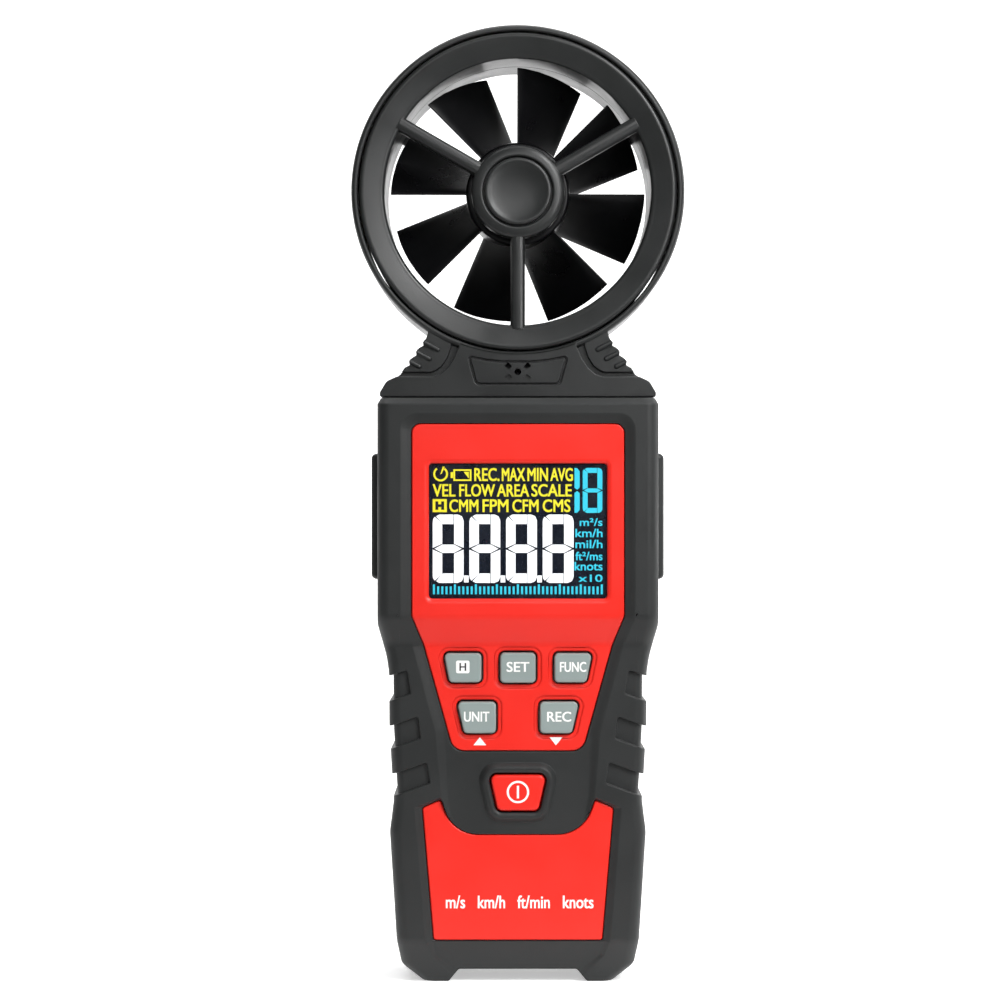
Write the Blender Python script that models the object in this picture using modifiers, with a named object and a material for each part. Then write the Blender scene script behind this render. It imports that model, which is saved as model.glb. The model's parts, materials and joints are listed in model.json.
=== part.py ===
"""Handheld vane anemometer, modelled as the separate pieces that it is assembled from.

The frame is in metres with +Z up. The feet stand on z = 0, x = 0 is the plane of symmetry,
y = 0 is the parting plane of the housings, and the display faces -Y.
"""

from math import cos, pi, radians, sin

import bmesh
import bpy
from mathutils import Vector

MM = 0.001

# ---------------------------------------------------------------- driving dimensions
GAP = 0.3 * MM
HALF_GAP = 0.5 * GAP
FRONT = -1
BACK = 1
LEFT = -1
RIGHT = 1

# Body: (height, size) along the instrument, from the feet to the top.
BODY_TOP = 131.0 * MM
BODY_HALF_WIDTH = [
    (0.0, 21.4), (4.0, 26.1), (9.7, 27.15), (34.0, 28.7), (41.1, 27.8), (46.7, 28.2),
    (57.4, 28.8), (69.7, 28.9), (73.1, 29.4), (80.4, 31.35), (129.6, 31.35), (131.0, 30.6),
]
BODY_FRONT = [(0.0, 10.0), (9.7, 14.8), (76.0, 14.8), (82.2, 17.8), (129.6, 17.8), (131.0, 16.4)]
BODY_BACK = [(0.0, 12.0), (9.7, 17.5), (129.6, 17.5), (131.0, 16.1)]
FRONT_CORNER = 2.5 * MM
BACK_CORNER = 4.0 * MM
JACKET_WALL = 2.0 * MM
JACKET_FLOOR = 5.0 * MM
CASE_INSET = JACKET_WALL + GAP
CASE_WALL = 1.8 * MM
PANEL_INSET = 0.6 * MM
BACK_PANEL_Y = 17.8 * MM
NOTCH_DEPTH = 1.0 * MM

# Front outlines as (x, z, corner radius) on the right half, in millimetres.
UPPER_PANEL = [(23.6, 125.1, 2.0), (23.6, 82.4, 0.0), (21.0, 75.8, 0.0), (15.6, 56.5, 0.0),
               (14.4, 52.2, 3.0)]
LOWER_PANEL = [(11.8, 33.4, 1.2), (15.6, 35.9, 1.2), (17.2, 41.2, 0.6), (21.3, 39.4, 0.6),
               (18.8, 9.9, 0.3)]
BACK_PANEL = [(26.5, 125.0, 3.0), (26.5, 82.0, 0.0), (22.4, 74.0, 0.0), (22.4, 9.9, 2.0)]
SIDE_NOTCHES = [(64.5, 69.8, 23.9), (53.3, 59.5, 21.7), (42.4, 49.4, 19.5)]
POWER_LIP = [(7.9, 49.5, 1.8), (5.6, 37.4, 1.4)]
POWER_LIP_HEIGHT = 0.8 * MM

# Side rails let into the flanks.
RAIL_LOW = 90.3 * MM
RAIL_HIGH = 118.7 * MM
RAIL_OUTER_X = 33.1 * MM
RAIL_INNER_X = 30.65 * MM
RAIL_HALF_DEPTH = 6.5 * MM

# Display.
WINDOW_HALF_WIDTH = 19.7 * MM
WINDOW_LOW = 86.4 * MM
WINDOW_HIGH = 116.2 * MM
LENS_Y = (-16.7 * MM, -15.7 * MM)
LENS_RIM = 0.9 * MM
LCD_HALF_WIDTH = 20.8 * MM
LCD_LOW = 84.6 * MM
LCD_HIGH = 118.0 * MM
LCD_Y = (-13.3 * MM, -11.5 * MM)
BACKLIGHT_Y = (-11.2 * MM, -7.7 * MM)

# Keys: half outline or full outline around each key's own centre, in millimetres.
KEY_TOP_Y = -15.0 * MM
POWER_TOP_Y = -15.3 * MM
KEY_FLANGE_Y = (-10.4 * MM, -9.6 * MM)
KEY_FLANGE_RIM = 0.8 * MM
KEYS = [
    ("hold", -12.3, 70.75, [(-4.25, 3.25, 0.9), (4.15, 3.25, 0.9), (4.15, -3.25, 0.9),
                            (-2.95, -3.25, 0.9)]),
    ("set", 0.0, 70.75, [(-3.95, 3.35, 0.9), (3.95, 3.35, 0.9), (3.95, -3.35, 0.9),
                         (-3.95, -3.35, 0.9)]),
    ("function", 12.3, 70.75, [(-4.15, 3.25, 0.9), (4.25, 3.25, 0.9), (2.95, -3.25, 0.9),
                               (-4.15, -3.25, 0.9)]),
    ("unit", -9.2, 59.65, [(-4.4, 3.5, 0.9), (4.3, 3.5, 0.9), (4.3, -3.5, 0.9),
                           (-2.8, -3.5, 0.9)]),
    ("record", 9.2, 59.65, [(-4.3, 3.5, 0.9), (4.4, 3.5, 0.9), (2.8, -3.5, 0.9),
                            (-4.3, -3.5, 0.9)]),
    ("power", 0.0, 42.9, [(-6.3, 4.0, 1.1), (6.3, 4.0, 1.1), (4.5, -4.0, 1.1),
                          (-4.5, -4.0, 1.1)]),
]

# Electronics.
BOARD_Y = (-5.5 * MM, -3.9 * MM)
BOARD_HALF_WIDTH = 20.0 * MM
BOARD_LOW = 32.0 * MM
BOARD_HIGH = 119.0 * MM

# Housing screws, as (x, z) of their axes in millimetres.
CASE_SCREWS = [(-23.0, 122.5), (23.0, 122.5), (-17.5, 13.6), (17.5, 13.6)]
SCREW_HEAD_Y = 14.3 * MM
HEAD_SCREWS = [(-16.0, 137.2), (16.0, 137.2)]
HEAD_SCREW_Y = 11.8 * MM

# Batteries and their door.
CELL_PITCH = 11.2 * MM
CELL_Y = 9.9 * MM
BAY_HALF_WIDTH = 17.0 * MM
BAY_LOW = 21.4 * MM
BAY_HIGH = 70.2 * MM
BAY_FRONT_Y = 4.3 * MM
BAY_WALL = 1.2 * MM
DOOR = [(19.0, 80.5, 2.5), (19.0, 18.9, 2.5)]
DOOR_Y = (16.1 * MM, 17.8 * MM)
DOOR_SCREW_Z = 75.5 * MM

# Vane head: everything turned is centred on the hub axis, which runs along Y.
HUB_Z = 177.3 * MM
RING_RADIUS = 37.35 * MM
RING_INNER = 35.9 * MM
RING_FACE_Y = 13.3 * MM
GUARD_OUTER = RING_INNER - GAP
GUARD_CREST = 33.5 * MM
STRUT_ANGLES = (30, 150, 270)
STRUT_WIDTH = 3.2 * MM
STRUT_Y = (9.6 * MM, 12.6 * MM)
SHAFT_RADIUS = 0.8 * MM
ROTOR_HUB_HALF = 7.6 * MM
BLADE_COUNT = 8
BLADE_TIP = 28.7 * MM
BLADE_ROOT = 10.6 * MM
BLADE_HALF_DEPTH = 6.3 * MM
BLADE_THICKNESS = 0.9 * MM
BLADE_SWEEP_ROOT = radians(41.0)
BLADE_SWEEP_TIP = radians(30.6)

# Neck between the ring and the body, right half, as (x, z) in millimetres.
NECK_OUTLINE = [(30.9, 131.3), (30.9, 132.0), (29.1, 134.8), (25.7, 136.4)]
NECK_RIB_TOP = (20.4, 145.1)
NECK_RIBS = 5
NECK_RIB_DEPTH = 0.9
NECK_WALL = 1.8 * MM
VENT_Z = 136.4

RING_STEPS = 48
ARC_STEPS = 2
FACET_PHASE = radians(7)


# ---------------------------------------------------------------- scene and materials
def clear_scene():
    """Remove every object that is already in the file."""
    for item in list(bpy.data.objects):
        bpy.data.objects.remove(item, do_unlink=True)


def make_collection(name):
    """Return a new collection, linked to the scene."""
    collection = bpy.data.collections.new(name)
    bpy.context.scene.collection.children.link(collection)
    return collection


def make_material(name, colour, roughness, metallic=0.0):
    """Return a Principled material."""
    made = bpy.data.materials.new(name)
    made.use_nodes = True
    shader = made.node_tree.nodes["Principled BSDF"]
    shader.inputs["Base Color"].default_value = (*colour, 1.0)
    shader.inputs["Roughness"].default_value = roughness
    shader.inputs["Metallic"].default_value = metallic
    made.diffuse_color = (*colour, 1.0)
    return made


clear_scene()
PARTS = make_collection("vane_anemometer")
CUTTERS = make_collection("cutters")
MATERIALS = {
    "red": make_material("red_abs", (0.80, 0.045, 0.03), 0.35),
    "rubber": make_material("black_rubber", (0.028, 0.03, 0.03), 0.75),
    "black": make_material("black_abs", (0.022, 0.023, 0.024), 0.42),
    "gloss": make_material("gloss_black_vane", (0.008, 0.008, 0.009), 0.2),
    "grey": make_material("grey_silicone", (0.26, 0.30, 0.30), 0.6),
    "lens": make_material("display_acrylic", (0.01, 0.013, 0.025), 0.05),
    "glass": make_material("lcd_glass", (0.05, 0.07, 0.08), 0.1),
    "white": make_material("white_plastic", (0.8, 0.8, 0.78), 0.4),
    "board": make_material("circuit_board", (0.01, 0.16, 0.05), 0.5),
    "steel": make_material("steel", (0.55, 0.55, 0.56), 0.3, 1.0),
    "magnet": make_material("magnet_nickel", (0.45, 0.44, 0.42), 0.25, 1.0),
    "cell": make_material("battery_sleeve", (0.05, 0.08, 0.2), 0.35),
}


# ---------------------------------------------------------------- modelling helpers
def add_object(name, mesh, kind):
    """Add a part with its material, or a cutter where kind is None."""
    made = bpy.data.objects.new(name, mesh)
    if kind is None:
        CUTTERS.objects.link(made)
        made.hide_render = True
        made.display_type = "WIRE"
    else:
        PARTS.objects.link(made)
        if not mesh.materials:
            mesh.materials.append(MATERIALS[kind])
    return made


def mesh_from(name, form):
    """Turn a bmesh into a mesh with its faces pointing out."""
    bmesh.ops.recalc_face_normals(form, faces=form.faces)
    mesh = bpy.data.meshes.new(name)
    form.to_mesh(mesh)
    form.free()
    return mesh


def box(name, low, high, kind=None, bevel=0.0, origin=None):
    """A box between two corners, with its origin at its centre unless one is given."""
    low = Vector(low)
    high = Vector(high)
    centre = (low + high) / 2
    place = centre if origin is None else Vector(origin)
    form = bmesh.new()
    bmesh.ops.create_cube(form, size=1.0)
    bmesh.ops.scale(form, vec=high - low, verts=form.verts)
    bmesh.ops.translate(form, vec=centre - place, verts=form.verts)
    made = add_object(name, mesh_from(name, form), kind)
    made.location = place
    if bevel:
        add_bevel(made, bevel)
    return made


def add_bevel(target, width, segments=1):
    """Round the sharp edges of a part."""
    modifier = target.modifiers.new("bevel", "BEVEL")
    modifier.width = width
    modifier.segments = segments
    modifier.limit_method = "ANGLE"
    modifier.angle_limit = radians(40)


def combine(target, tool, operation):
    """Add a Boolean to the target."""
    modifier = target.modifiers.new(tool.name, "BOOLEAN")
    modifier.operation = operation
    modifier.object = tool
    modifier.solver = "EXACT"
    return target


def cut(target, *tools):
    """Take each tool's shape out of the target."""
    for tool in tools:
        combine(target, tool, "DIFFERENCE")
    return target


def join(target, *tools):
    """Fuse each tool's shape to the target."""
    for tool in tools:
        combine(target, tool, "UNION")
    return target


def rounded(corners):
    """Outline points in metres from (x, z, radius) corners in millimetres."""
    points = []
    count = len(corners)
    for index, (x, z, radius) in enumerate(corners):
        here = Vector((x, z)) * MM
        if not radius:
            points.append(here)
            continue
        before = Vector(corners[index - 1][:2]) * MM - here
        after = Vector(corners[(index + 1) % count][:2]) * MM - here
        half = before.angle(after) / 2
        reach = radius * MM * cos(half) / sin(half)
        start = here + before.normalized() * reach
        end = here + after.normalized() * reach
        for step in range(ARC_STEPS + 1):
            t = step / ARC_STEPS
            points.append(start * (1 - t) ** 2 + here * 2 * t * (1 - t) + end * t ** 2)
    return points


def mirrored(corners):
    """A closed outline from the corners of its right half, listed from top to bottom or back."""
    left = [(-x, z, *rest) for x, z, *rest in reversed(corners)]
    return list(corners) + left


def grown(points, distance):
    """The outline moved outwards by a distance, with mitred corners."""
    area = sum(a.cross(b) for a, b in zip(points, points[1:] + points[:1]))
    turn = 1 if area > 0 else -1
    made = []
    for index, here in enumerate(points):
        before = (here - points[index - 1]).normalized()
        after = (points[(index + 1) % len(points)] - here).normalized()
        normal_before = Vector((before.y, -before.x)) * turn
        normal_after = Vector((after.y, -after.x)) * turn
        middle = (normal_before + normal_after).normalized()
        made.append(here + middle * (distance / max(middle.dot(normal_after), 0.3)))
    return made


def prism(name, points, front_y, back_y, kind=None, origin=(0.0, 0.0)):
    """An outline in the XZ plane, as thick as the stretch of Y that it fills."""
    curve = bpy.data.curves.new(name + "_outline", "CURVE")
    curve.dimensions = "2D"
    curve.fill_mode = "BOTH"
    curve.extrude = (back_y - front_y) / 2
    spline = curve.splines.new("POLY")
    spline.points.add(len(points) - 1)
    for point, place in zip(spline.points, points):
        point.co = (place[0], place[1], 0.0, 1.0)
    spline.use_cyclic_u = True
    holder = bpy.data.objects.new(name + "_outline", curve)
    bpy.context.scene.collection.objects.link(holder)
    holder.rotation_euler = (pi / 2, 0.0, 0.0)
    holder.location = (origin[0], (front_y + back_y) / 2, origin[1])
    return from_curve(name, holder, kind)


def from_curve(name, holder, kind):
    """Make a closed mesh part from a curve object, and remove the curve."""
    bpy.context.view_layer.update()
    graph = bpy.context.evaluated_depsgraph_get()
    mesh = bpy.data.meshes.new_from_object(holder.evaluated_get(graph))
    mesh.name = name
    mesh.materials.clear()
    form = bmesh.new()
    form.from_mesh(mesh)
    bmesh.ops.remove_doubles(form, verts=form.verts, dist=1e-6)
    bmesh.ops.recalc_face_normals(form, faces=form.faces)
    form.to_mesh(mesh)
    form.free()
    made = add_object(name, mesh, kind)
    made.matrix_world = holder.matrix_world.copy()
    bpy.data.objects.remove(holder, do_unlink=True)
    return made


def turned(name, profile, place, kind=None, steps=24, along="Y", phase=0.0):
    """A turned piece from (radius, distance along the axis) points.

    A profile that keeps off the axis is closed into a ring; one that starts and ends on the
    axis is left open there. A phase turns the facets about the axis.
    """
    area = sum(a[0] * b[1] - a[1] * b[0] for a, b in zip(profile, profile[1:] + profile[:1]))
    points = list(profile) if area < 0 else list(reversed(profile))
    form = bmesh.new()
    corners = [form.verts.new((radius, 0.0, height)) for radius, height in points]
    for first, second in zip(corners, corners[1:]):
        form.edges.new((first, second))
    if min(radius for radius, _ in profile) > 0:
        form.edges.new((corners[-1], corners[0]))
    mesh = bpy.data.meshes.new(name)
    form.to_mesh(mesh)
    form.free()
    made = add_object(name, mesh, kind)
    made.location = place
    if along == "Y":
        made.rotation_euler = (-pi / 2, phase, 0.0)
    modifier = made.modifiers.new("turn", "SCREW")
    modifier.steps = steps
    modifier.render_steps = steps
    modifier.use_merge_vertices = True
    modifier.merge_threshold = 1e-6
    modifier.use_smooth_shade = True
    return made


def rod(name, radius, low, high, place, kind=None, steps=16, phase=0.0):
    """A plain round bar between two distances along an axis parallel to Y."""
    profile = [(0.0, high), (radius, high), (radius, low), (0.0, low)]
    return turned(name, profile, place, kind, steps, "Y", phase)


def settled(item):
    """Replace an object's modifiers by the mesh that they give, so that copies can share it."""
    bpy.context.view_layer.update()
    graph = bpy.context.evaluated_depsgraph_get()
    mesh = bpy.data.meshes.new_from_object(item.evaluated_get(graph))
    mesh.set_sharp_from_angle(angle=radians(35))
    item.modifiers.clear()
    item.data = mesh
    return item


def loft(name, rings, kind=None):
    """A closed solid through rings that have the same number of points."""
    form = bmesh.new()
    rows = [[form.verts.new(point) for point in ring] for ring in rings]
    for lower, upper in zip(rows, rows[1:]):
        for index in range(len(lower)):
            following = (index + 1) % len(lower)
            form.faces.new((lower[index], lower[following], upper[following], upper[index]))
    form.faces.new(rows[0])
    form.faces.new(rows[-1])
    return add_object(name, mesh_from(name, form), kind)


# ---------------------------------------------------------------- body form
def size_at(profile, height):
    """Read a (height, size) profile, given in millimetres, at a height in metres."""
    level = height / MM
    for (low, start), (high, end) in zip(profile, profile[1:]):
        if level <= high:
            return (start + (end - start) * (level - low) / (high - low)) * MM
    return profile[-1][1] * MM


def half_section(side, half_width, face, seam, radius, height):
    """The D-shaped section of one half of the body."""
    quarter = [radians(90 * step / ARC_STEPS) for step in range(ARC_STEPS + 1)]
    corner = [(half_width - radius + radius * cos(a), face - radius + radius * sin(a))
              for a in quarter]
    right = [(half_width, seam)] + corner
    whole = right + [(-x, y) for x, y in reversed(right)]
    return [(x, side * y, height) for x, y in whole]


def body_half(name, side, inset, bottom, top, seam, kind=None):
    """Half of the body's form, front or back, moved inwards by an inset."""
    face_profile = BODY_FRONT if side == FRONT else BODY_BACK
    corner = FRONT_CORNER if side == FRONT else BACK_CORNER
    radius = max(corner - inset, 0.6 * MM)
    levels = {z * MM for z, _ in BODY_HALF_WIDTH + face_profile if bottom < z * MM < top}
    rings = []
    for height in sorted(levels | {bottom, top}):
        half_width = size_at(BODY_HALF_WIDTH, height) - inset
        face = size_at(face_profile, height) - inset
        rings.append(half_section(side, half_width, face, seam, radius, height))
    return loft(name, rings, kind)


def foot_notch(name):
    """The shallow trapezoid that is open between the two feet."""
    outline = [Vector((x, z)) * MM for x, z in ((-13.2, 2.85), (13.2, 2.85), (18.0, -3.0),
                                                (-18.0, -3.0))]
    return prism(name, outline, -30 * MM, 30 * MM)


def side_recesses(name, side):
    """The three finger notches of each flank, as tools that reach only NOTCH_DEPTH in."""
    core = body_half(name + "_core", side, NOTCH_DEPTH, -1 * MM, BODY_TOP, -1 * MM)
    tools = []
    for low, high, inner in SIDE_NOTCHES:
        for hand in (LEFT, RIGHT):
            ends = sorted((hand * inner * MM, hand * 40 * MM))
            depths = sorted((side * -0.5 * MM, side * 30 * MM))
            tool = box(f"{name}_{low:.0f}_{hand}", (ends[0], depths[0], low * MM),
                       (ends[1], depths[1], high * MM))
            tools.append(cut(tool, core))
    return tools


def rail_pockets(name):
    """The pockets in the flanks that the side rails sit in."""
    low = RAIL_LOW - GAP
    high = RAIL_HIGH + GAP
    depth = RAIL_HALF_DEPTH + GAP
    inner = RAIL_INNER_X - GAP
    return [box(f"{name}_{hand}", (min(hand * inner, hand * 40 * MM), -depth, low),
                (max(hand * inner, hand * 40 * MM), depth, high)) for hand in (LEFT, RIGHT)]


def cable_opening(name):
    """The opening in the body's top that the sensor lead passes through."""
    return box(name, (-6 * MM, -5 * MM, 120 * MM), (6 * MM, 5 * MM, 140 * MM))


# ---------------------------------------------------------------- front housing
def key_outline(corners, growth=0.0):
    """A key's outline around its own centre."""
    points = rounded(corners)
    return grown(points, growth) if growth else points


def key_holes(name, front_y, back_y, growth, only=None):
    """Openings for the keys through a wall."""
    tools = []
    for label, x, z, corners in KEYS:
        if only is None or label in only:
            tools.append(prism(f"{name}_{label}", key_outline(corners, growth), front_y, back_y,
                               origin=(x * MM, z * MM)))
    return tools


def make_front_jacket():
    """The soft front jacket: frame round the red panels, flanks, finger notches and feet."""
    jacket = body_half("front_jacket", FRONT, 0.0, 0.0, BODY_TOP, HALF_GAP, "rubber")
    lip = prism("power_lip", rounded(mirrored(POWER_LIP)), -14.8 * MM - POWER_LIP_HEIGHT,
                -12.8 * MM)
    join(jacket, lip)
    cut(jacket, body_half("front_jacket_cavity", FRONT, JACKET_WALL, JACKET_FLOOR,
                          BODY_TOP - JACKET_WALL, -5 * MM))
    for label, corners in (("upper", UPPER_PANEL), ("lower", LOWER_PANEL)):
        outline = grown(rounded(mirrored(corners)), GAP)
        cut(jacket, prism(f"jacket_{label}_opening", outline, -30 * MM, -8 * MM))
    cut(jacket, *key_holes("jacket_hole", -30 * MM, -8 * MM, 0.45 * MM, ["power"]))
    cut(jacket, *side_recesses("front_notch", FRONT))
    cut(jacket, *rail_pockets("front_rail_pocket"))
    cut(jacket, foot_notch("front_foot_notch"), cable_opening("front_jacket_cable"))


def raised_panel(name, corners):
    """A panel of the front case that stands up through the jacket and follows its slope."""
    panel = prism(name, rounded(mirrored(corners)), -30 * MM, -11.5 * MM)
    form = body_half(name + "_form", FRONT, PANEL_INSET, 2 * MM, BODY_TOP, 0.0)
    return combine(panel, form, "INTERSECT")


def blind_post(name, place, radius, bore, depth, floor):
    """A front post with a blind bore that a screw bites into, sizes in millimetres."""
    profile = [(0.0, depth), (bore, depth), (bore, 0.45), (radius, 0.45), (radius, floor),
               (0.0, floor)]
    return turned(name, on_side(FRONT, profile), (place[0] * MM, 0.0, place[1] * MM), steps=12)


def through_post(name, place, radius, bore, seat, seat_y, floor):
    """A rear post, and the bore and screw-head seat to cut from it, sizes in millimetres."""
    spot = (place[0] * MM, 0.0, place[1] * MM)
    post = rod(name, radius * MM, 0.45 * MM, floor * MM, spot)
    hole = rod(name + "_bore", bore * MM, -1.0 * MM, 20.0 * MM, spot, steps=12,
               phase=FACET_PHASE)
    recess = rod(name + "_seat", seat * MM, seat_y * MM, 21.0 * MM, spot,
                 phase=2 * FACET_PHASE)
    return post, hole, recess


def front_bosses():
    """Posts inside the front case for the four housing screws."""
    return [blind_post(f"front_boss_{index}", place, 2.5, 1.6, 9.0, 12.0 if place[1] < 76 else 15.0)
            for index, place in enumerate(CASE_SCREWS)]


def make_front_case():
    """The red hard front case, under the jacket, with the window and the key openings."""
    case = body_half("front_case", FRONT, CASE_INSET, JACKET_FLOOR + GAP,
                     BODY_TOP - CASE_INSET, HALF_GAP, "red")
    join(case, raised_panel("upper_panel", UPPER_PANEL), raised_panel("lower_panel", LOWER_PANEL))
    cut(case, body_half("front_case_cavity", FRONT, CASE_INSET + CASE_WALL,
                        JACKET_FLOOR + GAP + CASE_WALL, BODY_TOP - CASE_INSET - CASE_WALL,
                        -5 * MM))
    join(case, *front_bosses())
    rim = LENS_RIM
    window = WINDOW_HALF_WIDTH
    cut(case, box("lens_seat", (-window, -30 * MM, WINDOW_LOW),
                  (window, LENS_Y[1] + GAP, WINDOW_HIGH)))
    cut(case, box("window", (rim - window, -30 * MM, WINDOW_LOW + rim),
                  (window - rim, -5 * MM, WINDOW_HIGH - rim)))
    cut(case, *key_holes("case_hole", -30 * MM, -8 * MM, 0.4 * MM))
    cut(case, cable_opening("front_case_cable"))


def make_rails():
    """The two rails that stand proud of the flanks."""
    for label, hand in (("left", LEFT), ("right", RIGHT)):
        ends = sorted((hand * RAIL_INNER_X, hand * RAIL_OUTER_X))
        box(f"side_rail_{label}", (ends[0], -RAIL_HALF_DEPTH, RAIL_LOW),
            (ends[1], RAIL_HALF_DEPTH, RAIL_HIGH), "rubber", bevel=1.2 * MM)


def make_display():
    """Window lens, LCD panel and the backlight block behind it."""
    edge = WINDOW_HALF_WIDTH - GAP
    box("display_lens", (-edge, LENS_Y[0], WINDOW_LOW + GAP), (edge, LENS_Y[1], WINDOW_HIGH - GAP),
        "lens")
    for name, depths, kind in (("lcd_panel", LCD_Y, "glass"),
                               ("lcd_backlight", BACKLIGHT_Y, "white")):
        box(name, (-LCD_HALF_WIDTH, depths[0], LCD_LOW), (LCD_HALF_WIDTH, depths[1], LCD_HIGH),
            kind)


def make_keys():
    """The six keys, each with a retaining flange behind the case wall."""
    for label, x, z, corners in KEYS:
        place = (x * MM, z * MM)
        top = POWER_TOP_Y if label == "power" else KEY_TOP_Y
        kind = "red" if label == "power" else "grey"
        key = prism(f"key_{label}", key_outline(corners), top, KEY_FLANGE_Y[1], kind, place)
        flange = prism(f"key_{label}_flange", key_outline(corners, KEY_FLANGE_RIM),
                       KEY_FLANGE_Y[0], KEY_FLANGE_Y[1] - 0.1 * MM, origin=place)
        join(key, flange)


def make_keypad_mat():
    """The rubber web that surrounds the key flanges behind the case."""
    corners = [(19.4, 75.6, 1.5), (17.4, 37.0, 1.5)]
    mat = prism("keypad_mat", rounded(mirrored(corners)), *KEY_FLANGE_Y, kind="rubber")
    cut(mat, *key_holes("mat_hole", -12 * MM, -8 * MM, KEY_FLANGE_RIM + GAP))


# ---------------------------------------------------------------- electronics
def make_board():
    """The main circuit board."""
    box("main_board", (-BOARD_HALF_WIDTH, BOARD_Y[0], BOARD_LOW),
        (BOARD_HALF_WIDTH, BOARD_Y[1], BOARD_HIGH), "board")


def make_switches():
    """A tactile switch on the board behind each key."""
    back = BOARD_Y[0] - GAP
    for label, x, z, _ in KEYS:
        centre = Vector((x * MM, 0.0, z * MM))
        half = 1.9 * MM
        body = box(f"switch_{label}", centre + Vector((-half, -8.0 * MM, -half)),
                   centre + Vector((half, back, half)), "black")
        join(body, rod(f"switch_{label}_stem", 1.0 * MM, -8.5 * MM, -7.0 * MM, centre, steps=12))


def make_buzzer():
    """The round buzzer on the back of the board."""
    start = BOARD_Y[1] + GAP
    profile = [(5.0 * MM, start), (5.0 * MM, start + 3.0 * MM), (0.8 * MM, start + 3.0 * MM),
               (0.8 * MM, start)]
    turned("buzzer", profile, (-11.0 * MM, 0.0, 104.0 * MM), "black", steps=20)


# ---------------------------------------------------------------- rear housing
def rear_bosses():
    """Posts of the rear case round the housing screws, with bores and counterbores."""
    posts = []
    holes = []
    for index, place in enumerate(CASE_SCREWS):
        post, hole, recess = through_post(f"rear_boss_{index}", place, 3.6, 1.6, 3.0,
                                          (SCREW_HEAD_Y - GAP) / MM, 14.8)
        posts.append(post)
        holes += [hole, recess]
    return posts, holes


def make_rear_case():
    """The rear case with the battery bay, the door recess and the screw bosses."""
    case = body_half("rear_case", BACK, CASE_INSET, JACKET_FLOOR + GAP, BODY_TOP - CASE_INSET,
                     HALF_GAP, "black")
    panel = rounded(mirrored(BACK_PANEL))
    join(case, prism("back_panel", panel, 13.0 * MM, BACK_PANEL_Y))
    cut(case, body_half("rear_case_cavity", BACK, CASE_INSET + CASE_WALL,
                        JACKET_FLOOR + GAP + CASE_WALL, BODY_TOP - CASE_INSET - CASE_WALL,
                        -5 * MM))
    wall = BAY_WALL
    join(case, box("bay_block", (-BAY_HALF_WIDTH - wall, BAY_FRONT_Y - wall, BAY_LOW - wall),
                   (BAY_HALF_WIDTH + wall, 15.3 * MM, BAY_HIGH + wall)))
    posts, bores = rear_bosses()
    place = (0.0, 0.0, DOOR_SCREW_Z)
    posts.append(rod("door_boss", 2.9 * MM, 5.0 * MM, 14.9 * MM, place))
    bores.append(rod("door_boss_bore", 1.5 * MM, 7.0 * MM, 20.0 * MM, place, steps=12,
                     phase=FACET_PHASE))
    join(case, *posts)
    cut(case, *bores)
    cut(case, prism("door_recess", grown(rounded(mirrored(DOOR)), GAP), DOOR_Y[0] - GAP, 25 * MM))
    cut(case, box("battery_bay", (-BAY_HALF_WIDTH, BAY_FRONT_Y, BAY_LOW),
                  (BAY_HALF_WIDTH, 25 * MM, BAY_HIGH)))
    cut(case, cable_opening("rear_case_cable"))


def make_rear_jacket():
    """The soft rear jacket, open over the back panel."""
    jacket = body_half("rear_jacket", BACK, 0.0, 0.0, BODY_TOP, HALF_GAP, "rubber")
    cut(jacket, body_half("rear_jacket_cavity", BACK, JACKET_WALL, JACKET_FLOOR,
                          BODY_TOP - JACKET_WALL, -5 * MM))
    cut(jacket, prism("rear_jacket_opening", grown(rounded(mirrored(BACK_PANEL)), GAP), 8 * MM,
                      30 * MM))
    cut(jacket, *side_recesses("rear_notch", BACK))
    cut(jacket, *rail_pockets("rear_rail_pocket"))
    cut(jacket, foot_notch("rear_foot_notch"), cable_opening("rear_jacket_cable"))


def make_battery_door():
    """The battery door with a hooked tab below, ribs to push on and a screw seat above."""
    door = prism("battery_door", rounded(mirrored(DOOR)), *DOOR_Y, kind="black")
    tab = box("door_tab", (-6 * MM, 14.4 * MM, 22.0 * MM), (6 * MM, 16.8 * MM, 23.2 * MM))
    join(door, tab)
    for row in range(4):
        low = (27.0 + 2.4 * row) * MM
        groove = box(f"door_groove_{row}", (-8 * MM, 17.3 * MM, low),
                     (8 * MM, 20 * MM, low + 1.2 * MM))
        cut(door, groove)
    place = (0.0, 0.0, DOOR_SCREW_Z)
    cut(door, rod("door_screw_bore", 1.5 * MM, 10 * MM, 20 * MM, place, steps=12),
        rod("door_screw_seat", 2.7 * MM, 16.8 * MM, 21 * MM, place, phase=FACET_PHASE))


def make_screw(name, head_radius, head_height, shank_radius, shank_length, place):
    """A pan-head screw whose head starts at its origin and whose shank points to -Y."""
    profile = [(0.0, head_height), (0.75 * head_radius, head_height),
               (head_radius, 0.6 * head_height), (head_radius, 0.0), (shank_radius, 0.0),
               (shank_radius, 0.4 * MM - shank_length), (0.0, -shank_length)]
    screw = turned(name, profile, place, "steel", steps=12)
    depth = 0.5 * head_height
    arm = 0.55 * head_radius
    slot = 0.16 * head_radius
    x, y, z = place
    top = y + head_height
    for label, wide, tall in (("a", arm, slot), ("b", slot, arm)):
        cut(screw, box(f"{name}_recess_{label}", (x - wide, top - depth, z - tall),
                       (x + wide, top + 1 * MM, z + tall)))
    return screw


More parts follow.
